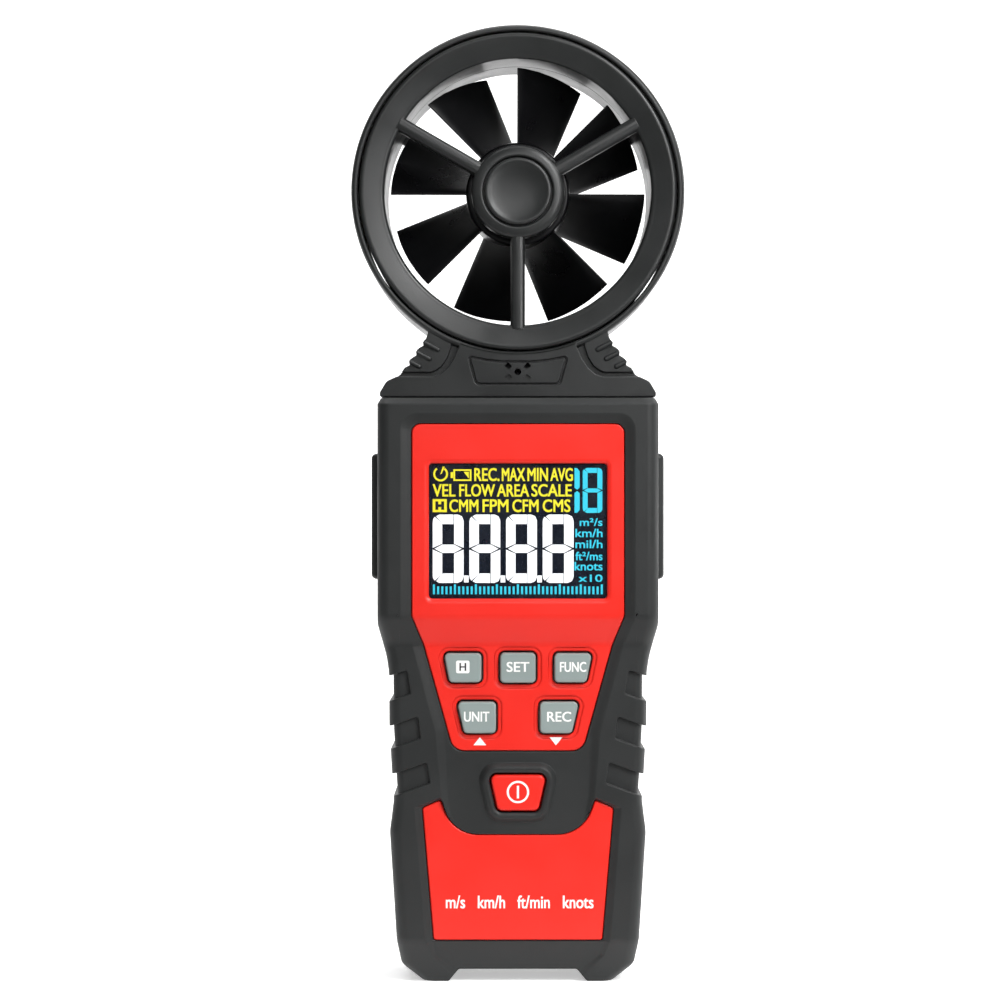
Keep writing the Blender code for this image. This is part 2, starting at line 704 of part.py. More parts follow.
def make_screws():
    """Four housing screws, the door screw and the two screws of the vane head."""
    first = make_screw("case_screw_1", 2.5 * MM, 1.6 * MM, 1.25 * MM, 21.0 * MM,
                       (CASE_SCREWS[0][0] * MM, SCREW_HEAD_Y, CASE_SCREWS[0][1] * MM))
    settled(first)
    for index, (x, z) in enumerate(CASE_SCREWS[1:], start=2):
        copy = add_object(f"case_screw_{index}", first.data, "steel")
        copy.rotation_euler = first.rotation_euler
        copy.location = (x * MM, SCREW_HEAD_Y, z * MM)
    for label, (x, z) in zip(("left", "right"), HEAD_SCREWS):
        make_screw(f"head_screw_{label}", 1.9 * MM, 1.2 * MM, 0.9 * MM, 18.0 * MM,
                   (x * MM, HEAD_SCREW_Y, z * MM))
    make_screw("battery_door_screw", 2.3 * MM, 0.7 * MM, 1.1 * MM, 8.5 * MM,
               (0.0, 17.1 * MM, DOOR_SCREW_Z))


def make_cells():
    """Three AAA cells with alternating polarity, their springs and their contact plates."""
    middle = (BAY_LOW + BAY_HIGH) / 2
    profile = [(0.0, 44.5), (1.8, 44.5), (1.8, 43.6), (5.0, 43.6), (5.2, 43.2), (5.2, 0.3),
               (5.0, 0.0), (0.0, 0.0)]
    metres = [(radius * MM, height * MM) for radius, height in profile]
    for index in range(3):
        x = (index - 1) * CELL_PITCH
        upright = index != 1
        turn = 1 if upright else -1
        start = BAY_LOW + 3.25 * MM if upright else BAY_HIGH - 3.25 * MM
        cell = turned(f"battery_{index + 1}", metres, (x, CELL_Y, start), "cell", 20, "Z")
        if not upright:
            cell.rotation_euler = (pi, 0.0, 0.0)
        plate_z = middle + turn * ((BAY_HIGH - BAY_LOW) / 2 - 0.3 * MM)
        ends = sorted((plate_z, plate_z - turn * 0.5 * MM))
        box(f"battery_contact_{index + 1}", (x - 3.5 * MM, CELL_Y - 4 * MM, ends[0]),
            (x + 3.5 * MM, CELL_Y + 4 * MM, ends[1]), "steel")
        spring_z = middle - turn * ((BAY_HIGH - BAY_LOW) / 2 - 0.7 * MM)
        make_spring(f"battery_spring_{index + 1}", (x, CELL_Y, spring_z), turn)


def make_spring(name, place, turn):
    """A short conical contact spring that rises along Z, up or down."""
    turns = 2
    per_turn = 8
    total = turns * per_turn
    points = []
    for step in range(total + 1):
        share = step / total
        radius = (3.2 - 1.2 * share) * MM
        angle = 2 * pi * turns * share
        points.append((radius * cos(angle), radius * sin(angle), turn * 1.9 * MM * share))
    tube(name, points, 0.33 * MM, "steel", place)


def tube(name, points, radius, kind, place=(0.0, 0.0, 0.0)):
    """A round wire along points, with closed ends."""
    curve = bpy.data.curves.new(name + "_path", "CURVE")
    curve.dimensions = "3D"
    curve.bevel_depth = radius
    curve.bevel_resolution = 2
    curve.use_fill_caps = True
    spline = curve.splines.new("POLY")
    spline.points.add(len(points) - 1)
    for point, spot in zip(spline.points, points):
        point.co = (*spot, 1.0)
    holder = bpy.data.objects.new(name + "_path", curve)
    bpy.context.scene.collection.objects.link(holder)
    holder.location = place
    return from_curve(name, holder, kind)


# ---------------------------------------------------------------- vane head
def hub_place():
    """The centre of the vane."""
    return (0.0, 0.0, HUB_Z)


def on_side(side, profile):
    """Millimetre (radius, depth) points as metres on the front or back side of the vane."""
    return [(radius * MM, side * depth * MM) for radius, depth in profile]


def neck_points():
    """The neck's outline: flared base, shoulders and saw-toothed finger ribs."""
    right = [(x, z, 0.0) for x, z in NECK_OUTLINE]
    low = Vector(NECK_OUTLINE[-1])
    high = Vector(NECK_RIB_TOP)
    step = (high - low) / NECK_RIBS
    inward = Vector((-step.y, step.x)).normalized() * NECK_RIB_DEPTH
    for rib in range(NECK_RIBS):
        valley = low + step * (rib + 0.45) + inward
        crest = low + step * (rib + 0.85)
        right.append((valley.x, valley.y, 0.0))
        right.append((crest.x, crest.y, 0.0))
    right.append((NECK_RIB_TOP[0] - 0.4, 150.0, 0.0))
    return rounded(mirrored(right))


def vent_holes(side):
    """One round hole and four petals through the front of the neck, over the sensor."""
    tools = [rod("vent_centre", 0.7 * MM, -20 * MM, -8 * MM, (0.0, 0.0, VENT_Z * MM), steps=12)]
    for hand in (LEFT, RIGHT):
        for up in (-1, 1):
            place = (hand * 2.1 * MM, 0.0, (VENT_Z + up * 1.2) * MM)
            tools.append(rod(f"vent_petal_{hand}_{up}", 0.65 * MM, -20 * MM, -8 * MM, place,
                             steps=8))
    return tools if side == FRONT else []


def make_head_shell(side, label):
    """Half of the head's outer moulding: the ring and the hollow neck under it."""
    depths = sorted((side * HALF_GAP, side * RING_FACE_Y))
    shell = prism(f"head_shell_{label}", neck_points(), *depths, kind="black")
    far = 20 * MM
    cut(shell, rod(f"{label}_neck_bore", 36.6 * MM, -far, far, hub_place(), steps=RING_STEPS))
    cavity_outline = [Vector((x, z)) * MM for x, z in (
        (27.6, 133.2), (26.2, 134.4), (18.0, 144.5), (-18.0, 144.5), (-26.2, 134.4),
        (-27.6, 133.2))]
    inner = sorted((-side * far, side * (RING_FACE_Y - NECK_WALL)))
    cavity = prism(f"{label}_neck_cavity", cavity_outline, *inner)
    cut(cavity, rod(f"{label}_cavity_limit", 38.9 * MM, -far - MM, far + MM, hub_place(),
                    steps=RING_STEPS))
    cut(shell, cavity)
    ring = on_side(side, [(RING_RADIUS / MM, 0.15), (RING_RADIUS / MM, 12.5),
                          (RING_RADIUS / MM - 0.7, 13.3), (RING_INNER / MM, 13.3),
                          (RING_INNER / MM, 0.15)])
    join(shell, turned(f"{label}_outer_ring", ring, hub_place(), steps=RING_STEPS))
    add_head_posts(shell, side, label)
    cut(shell, box(f"{label}_neck_lead", (-6 * MM, -5 * MM, 128 * MM), (6 * MM, 5 * MM, 135 * MM)))
    if side == FRONT:
        recess = [(11.0, 140.3, 0.6), (9.2, 133.9, 0.6)]
        cut(shell, prism("sensor_recess", rounded(mirrored(recess)), -20 * MM,
                         -RING_FACE_Y + 0.5 * MM))
        cut(shell, *vent_holes(side))
    else:
        cut(shell, lead_slot("shell_lead_slot"))


def add_head_posts(shell, side, label):
    """The two screw posts that hold the halves of the head together."""
    for index, place in enumerate(HEAD_SCREWS):
        name = f"{label}_head_post_{index}"
        if side == FRONT:
            join(shell, blind_post(name, place, 2.2, 1.2, 8.0, 12.3))
        else:
            post, hole, recess = through_post(name, place, 2.8, 1.2, 2.3,
                                              (HEAD_SCREW_Y - GAP) / MM, 12.3)
            cut(join(shell, post), hole, recess)


def lead_slot(name):
    """The groove that the sensor lead runs in, from the rear hub down into the neck."""
    return box(name, (-0.85 * MM, 9.0 * MM, HUB_Z - 40 * MM),
               (0.85 * MM, 11.0 * MM, HUB_Z - 6.5 * MM))


def make_guard(side, label):
    """The bell-mouthed duct ring with its three struts and the bearing hub, in one moulding."""
    ring = on_side(side, [(GUARD_OUTER / MM, 12.8), (GUARD_CREST / MM, 13.8), (31.6, 13.1),
                          (29.9, 10.4), (29.9, 0.15), (31.2, 0.15), (31.2, 9.6),
                          (GUARD_OUTER / MM, 10.4)])
    guard = turned(f"vane_guard_{label}", ring, hub_place(), "black", RING_STEPS)
    hub = on_side(side, [(10.45, 8.9), (10.45, 12.7), (9.95, 13.2), (7.8, 13.2), (7.8, 12.1),
                         (2.3, 12.1), (2.3, 8.9)])
    join(guard, turned(f"{label}_guard_hub", hub, hub_place(), steps=36))
    for angle in STRUT_ANGLES:
        depths = sorted((side * STRUT_Y[0], side * STRUT_Y[1]))
        strut = box(f"{label}_strut_{angle}", (9.0 * MM, depths[0], HUB_Z - STRUT_WIDTH / 2),
                    (30.6 * MM, depths[1], HUB_Z + STRUT_WIDTH / 2), bevel=0.6 * MM,
                    origin=hub_place())
        strut.rotation_euler = (0.0, -radians(angle), 0.0)
        join(guard, strut)
    if side == BACK:
        cut(guard, lead_slot("guard_lead_slot"))
        cut(guard, box("hall_pocket", (-2.4 * MM, 8.0 * MM, HUB_Z - 8.2 * MM),
                       (2.4 * MM, 11.2 * MM, HUB_Z - 4.0 * MM)))
    cap = on_side(side, [(0.0, 12.4), (7.5, 12.4), (7.5, 13.5), (6.9, 13.8), (6.0, 13.6),
                         (0.0, 13.4)])
    turned(f"hub_cap_{label}", cap, hub_place(), "black", 32)
    bearing = on_side(side, [(2.0, 9.2), (2.0, 11.8), (1.1, 11.8), (1.1, 9.2)])
    turned(f"bearing_{label}", bearing, hub_place(), "steel", 20)


def blade_surface(name, start):
    """One twisted blade as an open surface, thickened by Solidify."""
    form = bmesh.new()
    radial_steps = 3
    chord_steps = 4
    rows = []
    for radial in range(radial_steps + 1):
        share = radial / radial_steps
        radius = BLADE_ROOT + (BLADE_TIP - BLADE_ROOT) * share
        sweep = BLADE_SWEEP_ROOT + (BLADE_SWEEP_TIP - BLADE_SWEEP_ROOT) * share
        row = []
        for chord in range(chord_steps + 1):
            t = chord / chord_steps
            angle = start - sweep * t
            depth = BLADE_HALF_DEPTH * (2 * t - 1)
            row.append(form.verts.new((radius * cos(angle), depth, radius * sin(angle))))
        rows.append(row)
    for inner, outer in zip(rows, rows[1:]):
        for index in range(chord_steps):
            form.faces.new((inner[index], inner[index + 1], outer[index + 1], outer[index]))
    mesh = bpy.data.meshes.new(name)
    form.to_mesh(mesh)
    form.free()
    blade = add_object(name, mesh, None)
    blade.location = hub_place()
    thick = blade.modifiers.new("thickness", "SOLIDIFY")
    thick.thickness = BLADE_THICKNESS
    thick.offset = 0.0
    return blade


def make_rotor():
    """The rotor: a hub with eight twisted blades, its shaft and its ring magnet."""
    half = ROTOR_HUB_HALF / MM
    hub = on_side(BACK, [(10.9, -half), (11.7, 0.8 - half), (11.7, half - 0.8), (10.9, half),
                         (5.3, half), (5.3, 5.2), (2.2, 5.2), (2.2, half), (1.1, half),
                         (1.1, -half)])
    rotor = turned("rotor", hub, hub_place(), "gloss", 40)
    for index in range(BLADE_COUNT):
        join(rotor, blade_surface(f"blade_{index}", 2 * pi * index / BLADE_COUNT))
    rod("rotor_shaft", SHAFT_RADIUS, -11.7 * MM, 11.7 * MM, hub_place(), "steel", 16)
    magnet = on_side(BACK, [(5.0, 5.5), (5.0, 7.3), (2.5, 7.3), (2.5, 5.5)])
    turned("rotor_magnet", magnet, hub_place(), "magnet", 24)


def make_sensors():
    """The magnetic pickup and its lead, and the thermistor on its small board."""
    box("hall_sensor", (-2.0 * MM, 9.4 * MM, HUB_Z - 7.8 * MM),
        (2.0 * MM, 10.9 * MM, HUB_Z - 4.4 * MM), "black")
    route = [(0.0, 10.1, 168.9), (0.0, 10.1, 139.5), (0.0, 9.2, 137.2), (0.0, 4.0, 134.6),
             (0.0, 2.0, 132.0), (0.0, 1.0, 128.0), (0.0, -1.6, 121.0), (0.0, -2.8, 117.0),
             (0.0, -2.9, 114.0)]
    tube("sensor_lead", [Vector(spot) * MM for spot in route], 0.5 * MM, "rubber")
    box("sensor_board", (-9.0 * MM, -8.8 * MM, 134.2 * MM), (9.0 * MM, -7.8 * MM, 137.9 * MM),
        "board")
    bead = [(0.0, -11.1), (0.7, -10.8), (1.0, -10.1), (0.7, -9.4), (0.0, -9.1)]
    turned("thermistor", [(r * MM, y * MM) for r, y in bead], (0.0, 0.0, VENT_Z * MM), "glass", 12)


def build():
    """Make every piece of the anemometer."""
    make_front_case()
    make_front_jacket()
    make_rear_case()
    make_rear_jacket()
    make_rails()
    make_display()
    make_keys()
    make_keypad_mat()
    make_board()
    make_switches()
    make_buzzer()
    make_battery_door()
    make_screws()
    make_cells()
    for side, label in ((FRONT, "front"), (BACK, "rear")):
        make_head_shell(side, label)
        make_guard(side, label)
    make_rotor()
    make_sensors()


build()
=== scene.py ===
"""Looks of the handheld vane anemometer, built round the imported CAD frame."""

import json
from math import cos, pi, radians, sin

import bmesh
import bpy
from mathutils import Matrix, Vector
from mathutils.bvhtree import BVHTree


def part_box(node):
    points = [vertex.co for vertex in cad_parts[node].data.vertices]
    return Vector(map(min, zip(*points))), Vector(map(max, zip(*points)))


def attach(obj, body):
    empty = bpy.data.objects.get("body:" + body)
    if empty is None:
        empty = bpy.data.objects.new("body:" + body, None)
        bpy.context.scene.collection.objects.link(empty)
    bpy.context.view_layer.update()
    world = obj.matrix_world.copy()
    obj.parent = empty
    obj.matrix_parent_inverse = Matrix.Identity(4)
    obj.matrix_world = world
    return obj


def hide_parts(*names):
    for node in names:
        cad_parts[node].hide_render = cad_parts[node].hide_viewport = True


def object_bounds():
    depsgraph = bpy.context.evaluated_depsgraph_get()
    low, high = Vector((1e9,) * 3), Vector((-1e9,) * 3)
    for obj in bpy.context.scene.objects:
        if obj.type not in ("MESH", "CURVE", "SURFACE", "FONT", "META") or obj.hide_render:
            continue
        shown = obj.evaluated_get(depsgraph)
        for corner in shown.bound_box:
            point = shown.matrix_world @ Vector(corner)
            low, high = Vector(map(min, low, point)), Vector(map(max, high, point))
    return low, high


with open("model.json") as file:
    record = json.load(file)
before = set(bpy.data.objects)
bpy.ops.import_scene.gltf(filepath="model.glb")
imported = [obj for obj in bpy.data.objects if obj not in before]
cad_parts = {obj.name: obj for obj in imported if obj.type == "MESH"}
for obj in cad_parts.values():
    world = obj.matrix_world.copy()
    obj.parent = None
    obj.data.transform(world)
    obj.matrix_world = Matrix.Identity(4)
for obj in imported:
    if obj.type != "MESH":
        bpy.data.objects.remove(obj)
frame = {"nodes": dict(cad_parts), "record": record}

CAD_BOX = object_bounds()
MM = 0.001
FRONT, BACK = -1, 1
HOUSING = "housing"
COLLECTION = bpy.context.scene.collection

# ---------------------------------------------------------------- sizes shared with the CAD
HALF_GAP = 0.01 * MM
# How far a cutting tool reaches out of the body.
FAR = 30 * MM
# The body's outline as (height, size) profiles in millimetres.
BODY_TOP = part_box("front_jacket")[1][2]
BODY_HALF_WIDTH = [
    (0.0, 21.4), (4.0, 26.1), (9.7, 27.15), (34.0, 28.7), (41.1, 27.8), (46.7, 28.2),
    (57.4, 28.8), (69.7, 28.9), (73.1, 29.4), (80.4, 31.35), (129.6, 31.35), (131.0, 30.6),
]
BODY_FRONT = [(0.0, 10.0), (9.7, 14.8), (76.0, 14.8), (82.2, 17.8), (129.6, 17.8), (131.0, 16.4)]
BODY_BACK = [(0.0, 12.0), (9.7, 17.5), (129.6, 17.5), (131.0, 16.1)]
FRONT_CORNER = 2.8 * MM
BACK_CORNER = 4.0 * MM
BODY_ARC_STEPS = 10
CREASE_SOFTNESS = 0.8
PANEL_INSET = 0.85 * MM
GRIP_FACE = -14.8 * MM
RED_FACE = GRIP_FACE + PANEL_INSET
BASIN_DEPTH = 0.7 * MM
BASIN_STEPS = 7
NOTCH_DEPTH = 1.0 * MM
JACKET_WALL = 2.0 * MM
CASE_INSET = 2.3 * MM
CAVITY_INSET = 4.1 * MM
CASE_FLOOR = 3.0 * MM
BAY_HALF_WIDTH = 17 * MM
BAY_FLOOR = 4.3 * MM
BAY_LOW = 21.4 * MM
BAY_HIGH = 70.2 * MM
BACK_GROOVE_FLOOR = 17.2 * MM

# Outlines on the right half as (x, z, corner radius) in millimetres.
UPPER_PANEL = [(23.6, 125.1, 2.0), (23.6, 82.4, 2.0), (21.0, 75.8, 3.0), (15.6, 56.5, 0.0),
               (14.4, 52.2, 3.2)]
LOWER_PANEL = [(14.6, 33.4, 8.0), (17.25, 41.2, 0.5), (21.3, 39.4, 0.6), (18.8, 9.9, 0.6)]
BACK_PANEL = [(26.5, 125.0, 3.0), (26.5, 82.0, 2.0), (22.4, 74.0, 2.0), (22.4, 9.9, 2.0)]
# Finger notches: inner edge x and heights at top and bottom, in millimetres.
NOTCHES = [(24.7, 70.3, 23.9, 65.0), (22.3, 59.9, 21.7, 55.0), (20.3, 49.7, 19.6, 45.0)]
NOTCH_SLOPE = 0.36
WINDOW = (19.85, 86.25, 116.35)
KEYS = [
    ("hold", -12.3, 70.75, [(-4.25, 3.25), (4.15, 3.25), (4.15, -3.25), (-2.95, -3.25)], "H"),
    ("set", 0.0, 70.75, [(-3.95, 3.35), (3.95, 3.35), (3.95, -3.35), (-3.95, -3.35)], "SET"),
    ("function", 12.3, 70.75, [(-4.15, 3.25), (4.25, 3.25), (2.95, -3.25), (-4.15, -3.25)],
     "FUNC"),
    ("unit", -9.2, 59.65, [(-4.4, 3.5), (4.3, 3.5), (4.3, -3.5), (-2.8, -3.5)], "UNIT"),
    ("record", 9.2, 59.65, [(-4.3, 3.5), (4.4, 3.5), (2.8, -3.5), (-4.3, -3.5)], "REC"),
]
KEY_CORNER = 1.0
POWER_KEY = [(6.3, 46.9, 1.3), (4.5, 38.9, 1.3)]

# What the display shows, all in millimetres: digits, word rows (base, height, (word, left,
# right) ...) and unit words (word, left, base, height).
DIGIT_LEFT = -18.99
DIGIT_PITCH = 8.17
DIGIT_BASE = 89.73
WORD_ROWS = [
    (112.4, 2.95, [("REC.", -9.74, -4.1), ("MAX", -3.6, 1.6), ("MIN", 2.1, 6.7),
                   ("AVG", 7.2, 12.25)]),
    (108.95, 2.8, [("VEL", -19.0, -13.9), ("FLOW", -13.1, -5.1), ("AREA", -4.7, 2.5),
                   ("SCALE", 3.0, 12.0)]),
    (105.5, 2.85, [("CMM", -15.3, -8.8), ("FPM", -7.9, -2.1), ("CFM", -1.25, 4.6),
                   ("CMS", 5.5, 11.7)]),
]
UNIT_RIGHT = 18.85
UNIT_WORDS = [("m\u00b2/s", 13.75, 102.4, 1.75), ("km/h", 12.8, 99.9, 1.9),
              ("mil/h", 12.8, 97.45, 1.9), ("ft\u00b2/ms", 12.8, 94.75, 1.9),
              ("knots", 12.6, 92.5, 1.9), ("x10", 13.5, 89.95, 1.65)]

# The neck's right half as (x, z, corner radius), and its shoulder details, in millimetres.
NECK_OUTLINE = [
    (30.9, 131.3, 0.3), (30.9, 132.3, 0.8), (29.4, 134.8, 2.0), (26.5, 136.1, 0.5),
    (26.1, 136.7, 0.2), (25.4, 137.8, 0.25), (24.1, 138.5, 0.15), (24.45, 139.3, 0.25),
    (23.6, 140.1, 0.25), (22.6, 140.7, 0.15), (22.85, 141.4, 0.25), (22.1, 142.3, 0.25),
    (21.15, 142.8, 0.15), (21.3, 143.5, 0.25), (20.6, 144.3, 0.25), (20.2, 145.5, 0.2),
    (20.0, 150.0, 0.0),
]
EAR_LAND = [(13.4, 146.0), (13.0, 142.9), (14.4, 139.8), (15.8, 137.7), (17.4, 136.4),
            (19.2, 135.8), (40.0, 135.8), (40.0, 150.0), (13.4, 150.0)]
EAR_GROOVE = [(13.4, 146.0), (13.0, 142.9), (14.4, 139.8), (15.8, 137.7), (17.4, 136.4),
              (19.2, 135.8), (40.0, 135.8), (40.0, 136.8), (19.4, 136.8), (18.2, 137.3),
              (17.0, 138.2), (15.7, 140.2), (14.9, 142.7), (15.2, 146.0)]
EAR_RIBS = [(17.9, 141.9, 4.5), (19.8, 139.8, 4.5), (22.1, 138.1, 4.0)]
EAR_RIB_ANGLE = 28.0
EAR_RIB_HALF = 0.62

HUB_Z = 177.3 * MM
HUB = (0.0, 0.0, HUB_Z)
RING_STEPS = 192
BLADE_COUNT = 8

# Limits used while edges are rounded and shaded.
WELD = 2e-6
FLAT_LIMIT = cos(radians(0.5))
CREASE_LIMIT = cos(radians(50))
SKIN_TOLERANCE = 0.004 * MM


# ---------------------------------------------------------------- mesh helpers
def new_object(name, mesh):
    """Link a mesh as an object."""
    made = bpy.data.objects.new(name, mesh)
    COLLECTION.objects.link(made)
    return made


def duplicate(item):
    """A copy of an object with its own mesh."""
    return new_object(item.name, item.data.copy())


def from_form(name, form, recalc=True):
    """Turn a bmesh into a linked object with its faces pointing out."""
    if recalc:
        bmesh.ops.recalc_face_normals(form, faces=form.faces)
    mesh = bpy.data.meshes.new(name)
    form.to_mesh(mesh)
    form.free()
    return new_object(name, mesh)


def loft(name, rings, closed=True):
    """A closed solid through rings of equally many points."""
    form = bmesh.new()
    rows = [[form.verts.new(point) for point in ring] for ring in rings]
    for lower, upper in zip(rows, rows[1:]):
        for index in range(len(lower)):
            after = (index + 1) % len(lower)
            form.faces.new((lower[index], lower[after], upper[after], upper[index]))
    if closed:
        form.faces.new(rows[0])
        form.faces.new(rows[-1])
    return from_form(name, form)


def rounded(corners, steps=8):
    """Outline points in metres from (x, z, radius) corners in millimetres, true arcs."""
    points = []
    count = len(corners)
    for index, (x, z, radius) in enumerate(corners):
        here = Vector((x, z))
        before = (Vector(corners[index - 1][:2]) - here).normalized()
        after = (Vector(corners[(index + 1) % count][:2]) - here).normalized()
        half = before.angle(after) / 2
        turn = pi - 2 * half
        if radius <= 0:
            points.append(here * MM)
            continue
        reach = radius / sin(half) * cos(half)
        centre = here + (before + after).normalized() * (radius / sin(half))
        start = here + before * reach - centre
        spin = 1 if before.cross(after) < 0 else -1
        for step in range(steps + 1):
            angle = spin * turn * step / steps
            arm = Matrix.Rotation(angle, 2) @ start
            points.append((centre + arm) * MM)
    return points


def mirrored(corners):
    """A closed outline from the corners of its right half."""
    return list(corners) + [(-x, z, *rest) for x, z, *rest in reversed(corners)]


def grown(points, distance):
    """The outline moved outwards by a distance in metres."""
    area = sum(a.cross(b) for a, b in zip(points, points[1:] + points[:1]))
    turn = 1 if area > 0 else -1
    made = []
    for index, here in enumerate(points):
        before = (here - points[index - 1]).normalized()
        after = (points[(index + 1) % len(points)] - here).normalized()
        normal = Vector((after.y, -after.x)) * turn
        middle = (Vector((before.y, -before.x)) * turn + normal).normalized()
        made.append(here + middle * (distance / max(middle.dot(normal), 0.35)))
    return made


def prism(name, points, front_y, back_y):
    """An XZ outline between two depths."""
    return loft(name, [[(p[0], y, p[1]) for p in points] for y in (front_y, back_y)])


def stack(name, layers):
    """A closed solid through (points, depth) layers, where a depth is a number or a function."""
    rings = []
    for points, depth in layers:
        rings.append([(p[0], depth(p[1]) if callable(depth) else depth, p[1]) for p in points])
    return loft(name, rings)


def box(name, low, high):
    """A box between two corners."""
    form = bmesh.new()
    bmesh.ops.create_cube(form, size=1.0)
    low, high = Vector(low), Vector(high)
    bmesh.ops.scale(form, vec=high - low, verts=form.verts)
    bmesh.ops.translate(form, vec=(low + high) / 2, verts=form.verts)
    return from_form(name, form)


def turned(name, profile, steps=RING_STEPS, centre=HUB):
    """A piece turned about an axis along Y from (radius, depth) points in millimetres.

    A profile that keeps off the axis is closed into a ring.
    """
    ring = min(radius for radius, _ in profile) > 0
    form = bmesh.new()
    rows = []
    for radius, depth in profile:
        if radius == 0:
            rows.append([form.verts.new((centre[0], depth * MM, centre[2]))])
            continue
        row = []
        for step in range(steps):
            angle = 2 * pi * step / steps
            row.append(form.verts.new((centre[0] + radius * MM * cos(angle), depth * MM,
                                       centre[2] + radius * MM * sin(angle))))
        rows.append(row)
    pairs = list(zip(rows, rows[1:])) + ([(rows[-1], rows[0])] if ring else [])
    for first, second in pairs:
        for step in range(steps):
            after = (step + 1) % steps
            loop = [first[step % len(first)], first[after % len(first)],
                    second[after % len(second)], second[step % len(second)]]
            form.faces.new(list(dict.fromkeys(loop)))
    return from_form(name, form)


def arc(centre_r, centre_y, half_r, half_y, start, end, steps=8):
    """Points of an elliptic arc in a turned profile, angles in degrees from +radius to +Y."""
    points = []
    for step in range(steps + 1):
        angle = radians(start + (end - start) * step / steps)
        points.append((centre_r + half_r * cos(angle), centre_y + half_y * sin(angle)))
    return points


def combine(target, tool, operation):
    """Apply one exact Boolean and drop the tool."""
    modifier = target.modifiers.new("cut", "BOOLEAN")
    modifier.operation = operation
    modifier.object = tool
    modifier.solver = "EXACT"
    apply_modifiers(target)
    bpy.data.objects.remove(tool, do_unlink=True)
    return target


def cut(target, *tools):
    """Take the tools' shapes out of the target."""
    for tool in tools:
        combine(target, tool, "DIFFERENCE")
    return target


def fuse(target, *tools):
    """Add the tools' shapes to the target."""
    for tool in tools:
        combine(target, tool, "UNION")
    return target


def apply_modifiers(target):
    """Replace the target's mesh by what its modifiers give."""
    graph = bpy.context.evaluated_depsgraph_get()
    mesh = bpy.data.meshes.new_from_object(target.evaluated_get(graph))
    old = target.data
    target.modifiers.clear()
    target.data = mesh
    bpy.data.meshes.remove(old)


def soften(target, width, segments=2, angle=30.0):
    """Round every edge sharper than an angle and shade the piece smooth.

    Where the bevel throws a point off the old surface, the point goes back onto it.
    """
    form = bmesh.new()
    form.from_mesh(target.data)
    bmesh.ops.remove_doubles(form, verts=form.verts, dist=WELD)
    bmesh.ops.dissolve_degenerate(form, dist=WELD, edges=form.edges)
    bmesh.ops.triangulate(form, faces=[face for face in form.faces if len(face.verts) > 4])
    skin = BVHTree.FromBMesh(form)
    form.to_mesh(target.data)
    form.free()
    bevel = target.modifiers.new("rounding", "BEVEL")
    bevel.width = width
    bevel.segments = segments
    bevel.limit_method = "ANGLE"
    bevel.angle_limit = radians(angle)
    bevel.use_clamp_overlap = False
    bevel.loop_slide = False
    bevel.miter_outer = "MITER_ARC"
    apply_modifiers(target)
    for vertex in target.data.vertices:
        spot, normal, _, distance = skin.find_nearest(vertex.co)
        if distance > 0.5 * width or (vertex.co - spot).dot(normal) > SKIN_TOLERANCE:
            vertex.co = spot
    return shade(target)


def patch_areas(form):
    """The area of the flat patch that each face belongs to."""
    areas = {}
    for seed in form.faces:
        if seed in areas:
            continue
        areas[seed] = 0.0
        patch = [seed]
        for face in patch:
            for edge in face.edges:
                for other in edge.link_faces:
                    if other not in areas and other.normal.dot(seed.normal) > FLAT_LIMIT:
                        areas[other] = 0.0
                        patch.append(other)
        total = sum(face.calc_area() for face in patch)
        for face in patch:
            areas[face] = total
    return areas


def shade(target):
    """Shade a piece smooth, with its flat patches kept flat and its sharp edges sharp."""
    form = bmesh.new()
    form.from_mesh(target.data)
    form.normal_update()
    areas = patch_areas(form)
    normals = []
    for face in form.faces:
        for corner in face.loops:
            near = [other for other in corner.vert.link_faces
                    if other.normal.dot(face.normal) > CREASE_LIMIT]
            total = sum((other.normal * areas[other] for other in near), Vector())
            normals.append(total.normalized() if total.length > 0 else face.normal.copy())
    form.free()
    target.data.shade_smooth()
    target.data.normals_split_custom_set(normals)
    return target


def place(piece, body, slot, finish, *nodes):
    """Give a piece its material and body, and hide the CAD nodes that it stands for. The slot is
    not used.
    """
    piece.data.materials.clear()
    piece.data.materials.append(finish)
    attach(piece, body)
    if nodes:
        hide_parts(*nodes)
    return piece


# ---------------------------------------------------------------- materials
def principled(name, colour, roughness, **sockets):
    """A Principled material with constant values on its own sockets."""
    made = bpy.data.materials.new(name)
    made.use_nodes = True
    shader = made.node_tree.nodes["Principled BSDF"]
    shader.inputs["Base Color"].default_value = (*colour, 1.0)
    shader.inputs["Roughness"].default_value = roughness
    for socket, value in sockets.items():
        shader.inputs[socket.replace("_", " ")].default_value = value
    return made


def add_node(made, kind, **values):
    """Add a node and set its inputs by name."""
    node = made.node_tree.nodes.new(kind)
    for key, value in values.items():
        label = key.replace("_", " ")
        if label in node.inputs:
            node.inputs[label].default_value = value
        else:
            setattr(node, key, value)
    return node


def noise(made, scale, detail=3.0, roughness=0.5):
    """A noise texture in object space, in cycles a metre."""
    links = made.node_tree.links
    coordinates = add_node(made, "ShaderNodeTexCoord")
    texture = add_node(made, "ShaderNodeTexNoise", Scale=scale, Detail=detail,
                       Roughness=roughness)
    links.new(coordinates.outputs["Object"], texture.inputs["Vector"])
    return texture


def remap(made, source, low, high, start=0.35, end=0.65):
    """Map a texture's values between two limits."""
    node = add_node(made, "ShaderNodeMapRange")
    node.inputs["From Min"].default_value = start
    node.inputs["From Max"].default_value = end
    node.inputs["To Min"].default_value = low
    node.inputs["To Max"].default_value = high
    made.node_tree.links.new(source, node.inputs["Value"])
    return node.outputs["Result"]


def feed(made, source, socket):
    """Link a value to a socket of the Principled shader."""
    made.node_tree.links.new(source, made.node_tree.nodes["Principled BSDF"].inputs[socket])


